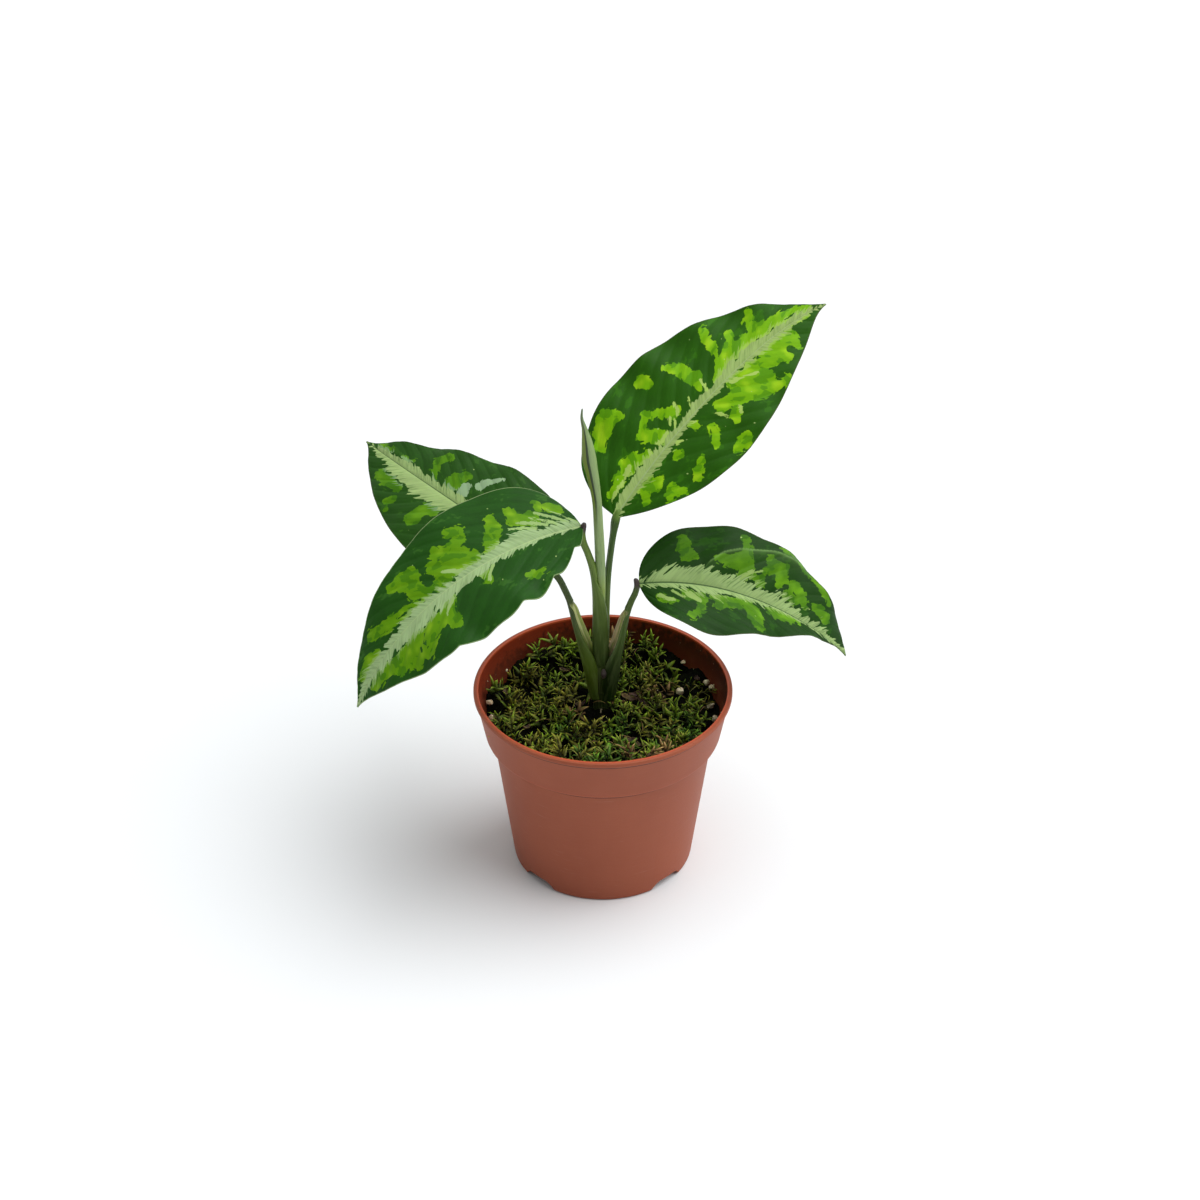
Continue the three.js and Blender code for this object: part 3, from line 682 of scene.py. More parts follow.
@dataclass(frozen=True)
class BladeSkin:
    """Camouflage leaf skin: dark green, torn lime blotches and a feathered silver band."""

    name: str
    flame: Colour  # paler streaks beside the band
    silver: Colour
    rib: Colour
    rib_width: float  # half width of the midrib's line at the base
    fray: float  # how far the band's edge frays into feathers
    quilled: float = 0.4  # how strongly dark quills streak the band
    ground: Colour = rgb(38, 88, 4)
    half_tone: Colour = rgb(56, 116, 10)  # faint mottles on the ground
    lime: Colour = rgb(116, 176, 2)
    bright: Colour = rgb(160, 208, 26)
    shaded: Colour = rgb(74, 138, 2)
    rim: Colour = rgb(80, 84, 44)
    # painted highlight along a blade's crease
    fold: Colour = rgb(132, 172, 96)
    speck: Colour = rgb(176, 204, 120)
    underside: Colour = rgb(112, 142, 92)
    keel: Colour = rgb(156, 180, 128)
    relief: float = 0.09
    glow: Glow = Glow(0.08, (0.5, 0.9, 0.15), 0.7)

    def material(self) -> Material:
        """Build the material."""
        shader = Shader(self.name)
        weave, plan = shader.mark_vector("weave"), shader.mark_vector("plan")
        rib, under, fold = shader.mark("rib"), shader.mark("under"), shader.mark("fold")

        chips = shader.cells(plan, (2.9, 2.2, 1))
        crumbs = shader.cells(plan, (1.2, 1.0, 1))
        bulge = shader.noise(plan, 3.6, 1)
        fuzz = shader.noise(plan, 0.5, 2)
        barbs = shader.noise(weave, (0.9, 7, 1), 2, 0.55, 0.8)
        plumes = shader.ridges(weave, (4.2, 11, 1))
        spikes = shader.ridges(weave, (1.9, 6, 1))
        teeth = shader.noise(weave, (1.5, 4.2, 1), 1)
        swell = shader.noise(plan, (8, 9, 1), 1)
        drift = shader.noise(plan, 6.5, 1)
        cloud = shader.noise(plan, (9, 7, 1), 3, 0.55)
        tissue = shader.noise(plan, 0.4, 2, 0.6)

        tear = (chips - 0.5) * 1.6 + (crumbs - 0.5) * 0.4 + (bulge - 0.5) * 2.2 + (fuzz - 0.5) * 0.4
        is_lime = (shader.mark("lime") + 0.25 + tear).between(-0.05, 0.05)
        wisps = (plumes - 0.84) * 8.0 + (spikes - 0.84) * 3.0 + (teeth - 0.5) * 7.0
        frayed = self.fray * (0.3 + 1.3 * drift.between(0.3, 0.7))
        feather = shader.mark("silver") + wisps * frayed + (swell - 0.5) * 2.4 + (fuzz - 0.5) * 0.4
        is_silver = feather.between(-0.09, 0.09)
        is_flame = (feather + 1.3 + (barbs - 0.5) * 5.5).between(-0.2, 0.5)
        is_pale = (shader.mark("flames") + tear * 0.45 + (barbs - 0.5) * 1.6).between(-0.08, 0.08)

        faint = (cloud + (chips - 0.5) * 0.12).between(0.6, 0.64)
        dark = shader.mix(faint * 0.4, self.ground, self.half_tone)
        dark = shader.shade(dark, 0.62 + 0.7 * cloud + 0.12 * tissue)
        deep = (drift + (chips - 0.5) * 0.14).between(0.57, 0.6)
        green = shader.mix(drift.between(0.5, 0.22), self.lime, self.bright)
        green = shader.mix(deep * 0.75, green, self.shaded)
        green = shader.shade(green, 0.9 + 0.12 * barbs + 0.1 * tissue)
        green = shader.mix(is_flame * 0.62, green, self.flame)
        quill = (1.3 - feather * 0.35).between(0, 1) * (0.5 - barbs).between(0, 0.08)
        pale = shader.mix(quill * self.quilled, self.silver, self.half_tone)
        pale = shader.shade(pale, 0.78 + 0.14 * barbs.between(0.36, 0.64) + 0.24 * drift + 0.08 * tissue)

        colour = shader.mix(is_lime, dark, green)
        colour = shader.mix(is_pale, colour, self.flame)
        colour = shader.mix(is_silver, colour, pale)
        line = (self.rib_width - rib.size() + (fuzz - 0.5) * 0.12).between(-0.05, 0.12)
        colour = shader.mix(line * 0.85, colour, self.rib)
        # painted highlight along the crease, and painted shade on the slope past it
        colour = shader.mix(fold.between(0, 1) * 0.5, colour, self.fold)
        colour = shader.shade(colour, 1 - (0 - fold).between(0, 1) * 0.7)
        edge = (0.3 - shader.mark("rim")).between(-0.08, 0.1)
        colour = shader.mix(edge * 0.75, colour, self.rim)
        speck = (0.055 - shader.specks(plan, 6.5)).between(0, 0.015)
        colour = shader.mix(speck * 0.8, colour, self.speck)

        below = shader.mix(0.2 + is_lime * 0.16 + is_silver * 0.1, self.underside, green)
        below = shader.shade(below, 0.85 + 0.25 * barbs)
        below = shader.mix((1.2 - rib.size()).between(0, 0.5) * 0.55, below, self.keel)
        colour = shader.mix(under, colour, below)
        rough = 0.42 + 0.12 * cloud + 0.08 * is_silver + 0.16 * under + 0.06 * tissue
        normal = shader.relief(barbs * 0.5 + tissue * 0.25 + cloud * 0.3, self.relief)
        return shader.close(colour, rough, normal, self.glow, specular=0.12)


# ---- the pot


@dataclass
class NurseryPot:
    """The thin tapered pot with its lip, collar, foot notches and drainage holes."""

    height: float = 81.5
    rim_radius: float = 52.5
    lip_height: float = 1.9
    collar_top_radius: float = 51.5
    collar_foot_radius: float = 48.3
    collar_depth: float = 19.4
    step_rise: float = 2.0
    body_top_radius: float = 45.0
    body_foot_radius: float = 37.4
    foot_rounding: float = 1.4
    wall: float = 1.3
    sides: int = 192
    notch_count: int = 4
    notch_angle: float = 45.0
    notch_foot_width: float = 17.0
    notch_crown_width: float = 9.0
    notch_height: float = 4.0
    notch_inner_end: float = 22.0
    drain_radius: float = 3.5
    drain_at: float = 27.0
    drain_cut: Point = (4.0, 6.0)  # middle height and depth of the cutters
    overrun: float = 2.0  # how far a cutter stands out of what it cuts
    lip_highlight_width: float = 0.4  # width of the painted highlight on the inner edge of the rim
    sharp_angle: float = 32.0

    @property
    def shoulder(self) -> float:
        """Height of the collar's foot."""
        return self.height - self.collar_depth

    @property
    def collar_slope(self) -> float:
        """Growth of the collar's radius for each millimetre of height."""
        rise = self.collar_depth - self.lip_height
        return (self.collar_top_radius - self.collar_foot_radius) / rise

    @property
    def notch_turns(self) -> List[float]:
        """Angles of the notches."""
        turns = range(self.notch_count)
        return [radians(self.notch_angle + 360 * turn / self.notch_count) for turn in turns]

    def inner_radius(self, height: float) -> float:
        """Radius of the inner wall at a height above the step."""
        return self.collar_foot_radius - self.wall + (height - self.shoulder) * self.collar_slope

    def turned(self, name: str, profile: Sequence[Point]) -> Object:
        """Spin a profile of radius and height, from axis to axis, into a closed solid."""
        bm = bmesh.new()
        verts = [bm.verts.new((radius, 0, height)) for radius, height in profile]
        edges = [bm.edges.new(pair) for pair in zip(verts, verts[1:])]
        bmesh.ops.spin(
            bm, geom=verts + edges, cent=(0, 0, 0), axis=(0, 0, 1),
            angle=tau, steps=self.sides, use_merge=True, use_duplicate=False,
        )
        bmesh.ops.remove_doubles(bm, verts=bm.verts, dist=1e-3)
        return linked(name, closed(name, bm))

    def outside(self) -> List[Point]:
        """List the outer profile from the underside up to the rim."""
        foot, rounding = self.body_foot_radius - self.foot_rounding, self.foot_rounding
        lip_foot = self.height - self.lip_height
        step_top = self.shoulder
        points = [(0, 0), (foot, 0)]
        for angle in (radians(90 * step / 4) for step in range(1, 5)):
            out, up = 1 - sin(angle), 1 - cos(angle)
            points.append((self.body_foot_radius - rounding * out, rounding * up))
        return points + [
            (self.body_top_radius - 0.15, step_top - self.step_rise - 0.5),
            (self.body_top_radius + 0.1, step_top - self.step_rise + 0.1),
            (self.collar_foot_radius - 0.9, step_top - 0.75),
            (self.collar_foot_radius - 0.25, step_top - 0.2),
            (self.collar_foot_radius, step_top + 0.5),
            (self.collar_top_radius, lip_foot - 0.35),
            (self.collar_top_radius + 0.2, lip_foot),
            (self.rim_radius - 0.25, lip_foot + 0.12),
            (self.rim_radius, lip_foot + 0.5),
            (self.rim_radius, self.height - 0.6),
            (self.rim_radius - 0.2, self.height - 0.15),
            (self.rim_radius - 0.6, self.height),
        ]

    def cavity(self, top: float) -> List[Point]:
        """List the inside's profile, closed at the axis above and below."""
        wall = self.wall
        foot = self.body_foot_radius - wall
        return [
            (0, wall),
            (foot - 1.2, wall),
            (foot - 0.3, wall + 0.35),
            (foot + 0.1, wall + 1.2),
            (self.body_top_radius - wall, self.shoulder - self.step_rise),
            (self.collar_foot_radius - wall, self.shoulder),
            (self.inner_radius(top), top),
            (0, top),
        ]

    def notch_cutters(self, name: str, grow: float) -> Object:
        """Make the wedge-shaped channels under the foot.

        Args:
            name: Name of the object.
            grow: How much wider than the real channels they are, all round.

        Returns:
            One object of separate solids.
        """
        foot = self.notch_foot_width / 2 + grow
        crown = self.notch_crown_width / 2 + grow
        roof = self.notch_height + grow
        outline: List[Point] = [(-foot, -1.0), (foot, -1.0)]
        arc_steps = 8
        for t in (step / arc_steps for step in range(arc_steps + 1)):
            across = (1 - t) ** 2 * foot + 2 * t * (1 - t) * (crown + 1.5) + t ** 2 * (crown - 1)
            outline.append((across, 2 * t * (1 - t) * roof + t ** 2 * roof))
        outline += [(-across, up) for across, up in reversed(outline[2:])]
        inner, outer = self.notch_inner_end - grow, self.body_foot_radius + 3
        bm = bmesh.new()
        for turn in self.notch_turns:
            face = bm.faces.new([bm.verts.new((inner, y, z)) for y, z in outline])
            grown = bmesh.ops.extrude_face_region(bm, geom=[face])["geom"]
            moved = [item for item in grown if isinstance(item, bmesh.types.BMVert)]
            bmesh.ops.translate(bm, verts=moved, vec=(outer - inner, 0, 0))
            spun = moved + list(face.verts)
            bmesh.ops.rotate(bm, verts=spun, cent=(0, 0, 0), matrix=Matrix.Rotation(turn, 3, "Z"))
        return linked(name, closed(name, bm))

    def drain_cutters(self) -> Object:
        """Make the cutters of the drainage holes, one for each channel."""
        middle, depth = self.drain_cut
        bm = bmesh.new()
        for turn in self.notch_turns:
            bmesh.ops.create_cone(
                bm, cap_ends=True, segments=40, depth=depth, radius1=self.drain_radius,
                radius2=self.drain_radius,
                matrix=Matrix.Translation((*polar(self.drain_at, turn), middle)),
            )
        return linked("drain_cutters", mesh_of("drain_cutters", bm))

    @staticmethod
    def cut(body: Object, cutters: Sequence[Object]) -> Mesh:
        """Cut solids out of a body and return the result, removing what was used."""
        for cutter in cutters:
            boolean = body.modifiers.new("cut", "BOOLEAN")
            boolean.operation = "DIFFERENCE"
            boolean.solver = "EXACT"
            boolean.object = cutter
        graph = bpy.context.evaluated_depsgraph_get()
        result = bpy.data.meshes.new_from_object(body.evaluated_get(graph))
        for used in [body, *cutters]:
            bpy.data.objects.remove(used)
        return result

    def build(self, finish: PotPlastic) -> None:
        """Build the pot and mark its inside and the inner edge of its lip, where a highlight is painted.
        """
        inside = self.turned("pot_inside", self.cavity(self.height + self.overrun))
        lifted = self.cut(inside, [self.notch_cutters("raised_channels", self.wall)])
        inside = linked("pot_inside_cut", lifted)
        shell = self.turned("pot_shell", self.outside() + [(0, self.height)])
        mesh = self.cut(shell, [inside, self.notch_cutters("channels", 0), self.drain_cutters()])
        x, y, height = coordinates(mesh).T
        radius = np.hypot(x, y)
        heights = [self.wall, self.shoulder - self.step_rise]
        radii = [self.body_foot_radius, self.body_top_radius]
        low = np.interp(height, heights, radii) - self.wall
        inner_wall = np.where(height > self.shoulder, self.inner_radius(height), low)
        inner = (radius < inner_wall + 0.1) & (height > self.wall - 0.05)
        edge = self.inner_radius(self.height) + self.lip_highlight_width
        paint(mesh, "inner", inner.astype(float))
        paint(mesh, "lip", ((radius < edge) & (height > self.height - 0.9)).astype(float))
        material = finish.material()
        finished("nursery_pot", mesh, material, ["pot"], self.sharp_angle)


# ---- soil, moss and grains


SOIL_TOP = 63.5
GAP = 0.3
MAT_THICKNESS = 3.2
MAT_SWELL = 0.9


def moss_height(x: float, y: float) -> float:
    """Give the height of the moss mat's low mounds at a place."""
    mounds = sin(x * 0.19 + 1) * cos(y * 0.23 - 0.6) + sin((x + y) * 0.11)
    return SOIL_TOP + GAP + MAT_THICKNESS + MAT_SWELL * 0.5 * mounds


@dataclass
class PottingSoil:
    """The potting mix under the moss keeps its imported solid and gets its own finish."""

    node: str = "soil"

    def dress(self, finish: PottingMix) -> None:
        """Give the packed soil its finish."""
        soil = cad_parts[self.node]
        soil.data.materials.clear()
        soil.data.materials.append(finish.material())
        log.info("soil: packed solid, dressed")


@dataclass
class MossShoot:
    """One kind of moss shoot: a bent stem with pointed little leaves in a spiral."""

    length: float
    leaves: int
    leaf_length: float
    leaf_width: float
    bend: float  # how far the stem leans over at its tip
    spread: float  # how far the leaves stand out from the stem, in degrees
    stem_radii: Point = (0.42, 0.16)

    def leaf(
        self, bm: Editor, rise: bmesh.types.BMLayerItem, draw: random.Random, index: int
    ) -> None:
        """Add one leaf: a flat pointed ball that leans out from the stem.

        Args:
            bm: Where it goes.
            rise: The layer that says how far up its shoot a vertex is.
            draw: Source of its small irregularities.
            index: Its number, counted from the foot.
        """
        share = (index + 1) / self.leaves
        size = (0.6 + 0.6 * sin(pi * (0.15 + 0.75 * share))) * draw.uniform(0.8, 1.15)
        spread = radians(self.spread * (1.2 - 0.9 * share ** 2) * draw.uniform(0.8, 1.2))
        long = self.leaf_length * size
        verts = bmesh.ops.create_uvsphere(bm, u_segments=4, v_segments=3, radius=0.5)["verts"]
        bmesh.ops.scale(bm, verts=verts, vec=(0.3 * self.leaf_width, self.leaf_width, long))
        for vert in verts:
            tall = vert.co.z / long + 0.5
            # how far up the shoot, which sets the painted shade and light of the leaf
            vert[rise] = 0.3 + 0.25 * share + 0.45 * tall
            vert.co.y *= 1.5 - 1.2 * tall
            vert.co.z += long * 0.5
            vert.co.x += 0.32 * self.leaf_length * tall ** 2
        turn = index * GOLDEN_TURN + draw.uniform(-0.3, 0.3)
        pose = Matrix.Rotation(turn, 3, "Z") @ Matrix.Rotation(spread, 3, "Y")
        bmesh.ops.rotate(bm, verts=verts, cent=(0, 0, 0), matrix=pose)
        bmesh.ops.translate(bm, verts=verts, vec=(0, 0, self.length * (0.22 + 0.74 * share)))

    def mesh(self, name: str, draw: random.Random) -> Mesh:
        """Model the shoot standing on the origin, each part of it closed."""
        bm = bmesh.new()
        rise = bm.verts.layers.float.new("rise")
        foot, tip = self.stem_radii
        bmesh.ops.create_cone(
            bm, cap_ends=True, segments=4, radius1=foot, radius2=tip, depth=self.length,
            matrix=Matrix.Translation((0, 0, self.length / 2)),
        )
        for vert in bm.verts:
            vert[rise] = 0.3 * vert.co.z / self.length
        for index in range(self.leaves):
            self.leaf(bm, rise, draw, index)
        for vert in bm.verts:
            vert.co.x += self.bend * (vert.co.z / self.length) ** 2
        return mesh_of(name, bm)


@dataclass
class MossCarpet:
    """Moss all over the soil: dark felt painted with the shade between the shoots, and tufts of leafy
    shoots of differing green.
    """

    pot: NurseryPot
    grains: List[Point]
    seed: int = 23
    tufts: int = 90
    kinds: Tuple[MossShoot, ...] = (
        MossShoot(7.6, 7, 5.4, 1.9, 1.4, 52),
        MossShoot(10.0, 8, 4.8, 1.7, 3.2, 44),
        MossShoot(5.2, 6, 5.6, 2.1, 0.6, 60),
        MossShoot(12.4, 9, 4.2, 1.5, 4.6, 36),
    )
    tilts: Point = (4, 60)  # least and most lean of a shoot, in degrees
    sink: float = 1.7  # how deep a shoot's foot stands in the mat
    cane: Point = (-0.4, 4.6)
    cane_radius: float = 5.2  # no shoot stands closer to the cane's middle
    gaps: Rows = (
        (-15, 16, 4), (-9, 3, 3.5), (-17, 27, 3), (15, -22, 4.5), (26, -22, 4), (38, 22, 4.5),
        (34, 9, 4.5), (-27, -2, 3), (-31, -14, 3), (-2, -5, 3.5), (10, 7, 4), (2, 24, 3), (-38, 14, 3),
    )  # x, y and radius of bare dark hollows
    climb_from: float = 32.0  # radius at which the carpet starts to climb to the wall
    climb_width: float = 14.0
    climb_height: float = 5.2
    mound_height: float = 3.4  # how far the peat is heaped up round the cane
    mound_radius: float = 11.0
    felt_depth: float = 1.4  # how far the felt lies below the mat's top
    lumps: int = 4  # waves of different sizes that roughen the felt
    flat_share: float = 0.8  # beyond this share of the sheet the felt turns down to its rim

    def bed(self, finish: MossBed) -> None:
        """Build the felt bed, rough and mounded, that fills the pot from wall to wall."""
        bm = square_sheet(96, 360)
        outer = self.pot.inner_radius(SOIL_TOP) - GAP
        phases = np.random.default_rng(self.seed).uniform(-1, 1, 12)
        under = SOIL_TOP + GAP
        for vert in bm.verts:
            share = vert.co.x
            radius = outer * min(share * 1.25, 1)
            x, y = polar(radius, vert.co.y * tau)
            lumps = 0.0
            for k in range(self.lumps):
                step = 0.9 + 0.55 * k
                lump = sin(x * step + phases[k] * 9 + 1.7 * sin(y * step * 0.8))
                lumps += lump * sin(y * step + phases[k + 8] * 9) / (k + 1.5)
            height = moss_height(x, y) - self.felt_depth + 0.9 * lumps + self.climb(x, y)
            if share > self.flat_share:
                height += (under - height) * (share - self.flat_share) / (1 - self.flat_share)
            spread = 1 + (height - under) * self.pot.collar_slope / outer * (radius / outer) ** 6
            vert.co = (x * spread, y * spread, height)
        bmesh.ops.remove_doubles(bm, verts=bm.verts, dist=1e-3)
        rim = [edge for edge in bm.edges if edge.is_boundary]
        bmesh.ops.holes_fill(bm, edges=rim, sides=0)
        finished("moss_bed", closed("moss_bed", bm), finish.material(), ["moss"])

    def climb(self, x: float, y: float) -> float:
        """Raise the carpet by the wall and the cane, except round the grains and before them."""
        share = min(max((hypot(x, y) - self.climb_from) / self.climb_width, 0), 1)
        height = self.climb_height * share * share * (3 - 2 * share)
        from_cane = hypot(x - self.cane[0], y - self.cane[1])
        height += self.mound_height * exp(-(from_cane / self.mound_radius) ** 2)
        for grain_x, grain_y in self.grains:
            away = hypot(x - grain_x, (y - grain_y + 2) * 0.8)
            height *= 1 - exp(-(away / 3.6) ** 2)
        return height

    def tone_at(self, x: float, y: float, chance: float) -> MossTone:
        """Choose how fresh a tuft is: fresh behind and to the left, deeper green in front."""
        if chance > 0.975 or (x < -38 and chance > 0.85) or (x > 8 and y < -26 and chance > 0.8):
            return MossTone.DRY
        if y < -8 and x > -18 and chance < 0.6:
            return MossTone.DEEP
        if chance > 0.78 or (x < -32 and chance > 0.5):
            return MossTone.OLIVE
        return MossTone.FRESH

    def clear(self, x: float, y: float) -> bool:
        """Tell whether a shoot may stand at a place."""
        hollows = (*self.gaps, (*self.cane, self.cane_radius))
        if any(hypot(x - gap_x, y - gap_y) < radius for gap_x, gap_y, radius in hollows):
            return False
        return not any(
            abs(x - grain_x) < 4.2 and -9 < y - grain_y < 3.5 for grain_x, grain_y in self.grains)

    def scatter(self) -> None:
        """Plant the tufts, each a whorl of shoots that lean out from its middle."""
        draw = random.Random(self.seed)
        models = [kind.mesh(f"shoot_{index}", draw) for index, kind in enumerate(self.kinds)]
        beds = {tone: bmesh.new() for tone in MossTone}
        outer = self.pot.inner_radius(SOIL_TOP) - 0.6
        for tuft in range(self.tufts):
            x, y = polar(outer * sqrt((tuft + 0.5) / self.tufts), tuft * GOLDEN_TURN)
            middle_x = x + draw.uniform(-1.8, 1.8)
            middle_y = y + draw.uniform(-1.8, 1.8)
            bed = beds[self.tone_at(middle_x, middle_y, draw.random())]
            count, vigour = draw.randint(3, 5), draw.uniform(0.75, 1.1)
            for shoot in range(count):
                turn = tau * shoot / count + draw.uniform(-0.4, 0.4)
                aside_x, aside_y = polar(draw.uniform(0.3, 2.2), turn)
                tilt = radians(draw.uniform(*self.tilts))
                size, kind = vigour * draw.uniform(0.75, 1.15), draw.randrange(len(models))
                spin = Matrix.Rotation(draw.uniform(0, tau), 4, "Z")
                x, y = middle_x + aside_x, middle_y + aside_y
                if hypot(x, y) > outer or not self.clear(x, y):
                    continue
                lean_x, lean_y = polar(self.kinds[kind].length * size * sin(tilt) + 2.0, turn)
                if hypot(x + lean_x, y + lean_y) > outer + 1.0:
                    turn = atan2(y, x) + pi + draw.uniform(-0.9, 0.9)
                place = Matrix.Translation((x, y, moss_height(x, y) - self.sink + self.climb(x, y)))
                pose = place @ Matrix.Rotation(turn, 4, "Z") @ Matrix.Rotation(tilt, 4, "Y")
                copy = models[kind].copy()
                copy.transform(pose @ spin @ Matrix.Scale(size, 4))
                bed.from_mesh(copy)
                bpy.data.meshes.remove(copy)
        for model in models:
            bpy.data.meshes.remove(model)
        for tone, bed in beds.items():
            name = f"moss_{tone.name.lower()}_shoots"
            if bed.verts:
                finished(name, mesh_of(name, bed), MossSkin(tone).material())
            else:
                bed.free()

    def build(self) -> None:
        """Build the bed and its shoots."""
        self.bed(MossBed())
        self.scatter()


@dataclass
class LooseThreads:
    """Dry or straw-green threads that lie on the carpet, many of them near the front."""

    pot: NurseryPot
    tone: MossTone
    seed: int
    count: int
    rows: int = 10
    brightness: float = 0.75  # how far up a shoot its colour would be, which sets its painted shade and light
    thin_from: float = 0.6  # share of the length from which it thins
    thinning: float = 0.75  # radius of each row there, as a share of the row before

    def thread(self, bm: Editor, draw: random.Random, x: float, y: float) -> None:
        """Add one bent thread.

        Args:
            bm: Where it goes.
            draw: Source of its shape.
            x: Where it lies.
            y: Where it lies.
        """
        length = draw.uniform(2.5, 7.5)
        radius = draw.uniform(0.1, 0.24)
        heading, bend = draw.uniform(0, tau), draw.uniform(-1.4, 1.4)
        lift = draw.uniform(0.5, 2.6)
        point = Vector((x, y, moss_height(x, y) + draw.uniform(2.0, 7.0)))
        ring = bmesh.ops.create_circle(bm, cap_ends=True, segments=4, radius=radius)["verts"]
        faces = list({face for vert in ring for face in vert.link_faces})
        for turn, axis in ((pi / 2, "Y"), (heading, "Z")):
            bmesh.ops.rotate(bm, verts=ring, cent=(0, 0, 0), matrix=Matrix.Rotation(turn, 3, axis))
        bmesh.ops.translate(bm, verts=ring, vec=point)
        step = length / self.rows
        bending = Matrix.Rotation(bend / self.rows, 3, "Z")
        for row in range(self.rows):
            heading += bend / self.rows
            share = (row + 1) / self.rows
            rise = lift * pi / length * cos(pi * share) * step
            grown = bmesh.ops.extrude_face_region(bm, geom=faces)["geom"]
            if row:
                bmesh.ops.delete(bm, geom=faces, context="FACES_ONLY")
            faces = [item for item in grown if isinstance(item, bmesh.types.BMFace)]
            verts = [item for item in grown if isinstance(item, bmesh.types.BMVert)]
            move = Vector((*polar(step, heading), rise))
            bmesh.ops.translate(bm, verts=verts, vec=move)
            point += move
            bmesh.ops.rotate(bm, verts=verts, cent=point, matrix=bending)
            if share > self.thin_from:
                middle = Matrix.Translation(-point)
                bmesh.ops.scale(bm, verts=verts, vec=(self.thinning,) * 3, space=middle)

    def build(self) -> None:
        """Build all the threads as one piece."""
        bm = bmesh.new()
        rise = bm.verts.layers.float.new("rise")
        draw = random.Random(self.seed)
        outer = self.pot.inner_radius(SOIL_TOP) - 5
        for index in range(self.count):
            if index % 3 == 0:
                x, y = draw.gauss(13, 9), draw.gauss(-30, 6)
            else:
                x, y = polar(outer * sqrt(draw.random()), draw.uniform(0, tau))
            reach = hypot(x, y)
            if reach > outer:
                x, y = x * outer / reach, y * outer / reach
            self.thread(bm, draw, x, y)
        for vert in bm.verts:
            vert[rise] = self.brightness
        name = f"{self.tone.name.lower()}_threads"
        finished(name, closed(name, bm), MossSkin(self.tone).material())


@dataclass
class LeafScraps:
    """Curled brown scraps of old leaf that lie on the moss, a few by the cane."""

    places: Rows = (
        (10.5, 5.5, 7.5), (13.5, 8.5, 6.5), (8.0, 3.0, 5.5), (15.5, 4.5, 5), (11, -22, 6.5),
        (15, -25, 5.5), (6, -27, 5), (-9, 3, 5.5), (-12, 6, 4.5), (-43, -8, 5), (-40, 11, 5),
        (36, -22, 5), (27, -24, 5.5), (39, 20, 5.5), (-31, -14, 5), (-16, 26, 5),
    )  # x, y and length
    seed: int = 47
    lift: float = 3.6
    cup: float = 2.3  # how far a scrap rolls up across, in radians
    slenderness: float = 0.5
    thickness: float = 0.2

    def scrap(self, name: str, draw: random.Random, length: float) -> Mesh:
        """Model one closed scrap of a length on the origin."""
        bm = square_sheet(14, 10)
        curl, crinkle = draw.uniform(1.2, 2.4), draw.uniform(0, tau)
        for vert in bm.verts:
            along, across = vert.co.x - 0.5, vert.co.y - 0.5
            width = self.slenderness * length * cos(pi * along * 0.88) ** 0.7
            ripple = 0.22 * sin(11 * along + 8 * across + crinkle)
            vert.co = (
                length * sin(curl * along) / curl,
                width * sin(self.cup * across) / self.cup,
                length * (1 - cos(curl * along)) / curl
                + width * (1 - cos(self.cup * across)) / self.cup + ripple,
            )
        bmesh.ops.solidify(bm, geom=bm.faces[:], thickness=self.thickness)
        return closed(name, bm)

    def build(self) -> None:
        """Build all the scraps as one piece."""
        draw = random.Random(self.seed)
        bm = bmesh.new()
        for index, (x, y, length) in enumerate(self.places):
            mesh = self.scrap(f"scrap_{index}", draw, length)
            place = Matrix.Translation((x, y, moss_height(x, y) + self.lift))
            turn = Matrix.Rotation(draw.uniform(0, tau), 4, "Z")
            mesh.transform(place @ turn @ Matrix.Rotation(draw.uniform(-0.6, 0.6), 4, "Y"))
            bm.from_mesh(mesh)
            bpy.data.meshes.remove(mesh)
        mesh = mesh_of("leaf_scraps", bm)
        height = coordinates(mesh)[:, 2]
        # painted light: the higher parts of the scraps come out brighter
        paint(mesh, "rise", 0.45 + 0.4 * smooth(height, height.min(), height.max()))
        finished("leaf_scraps", mesh, MossSkin(MossTone.BROWN).material())


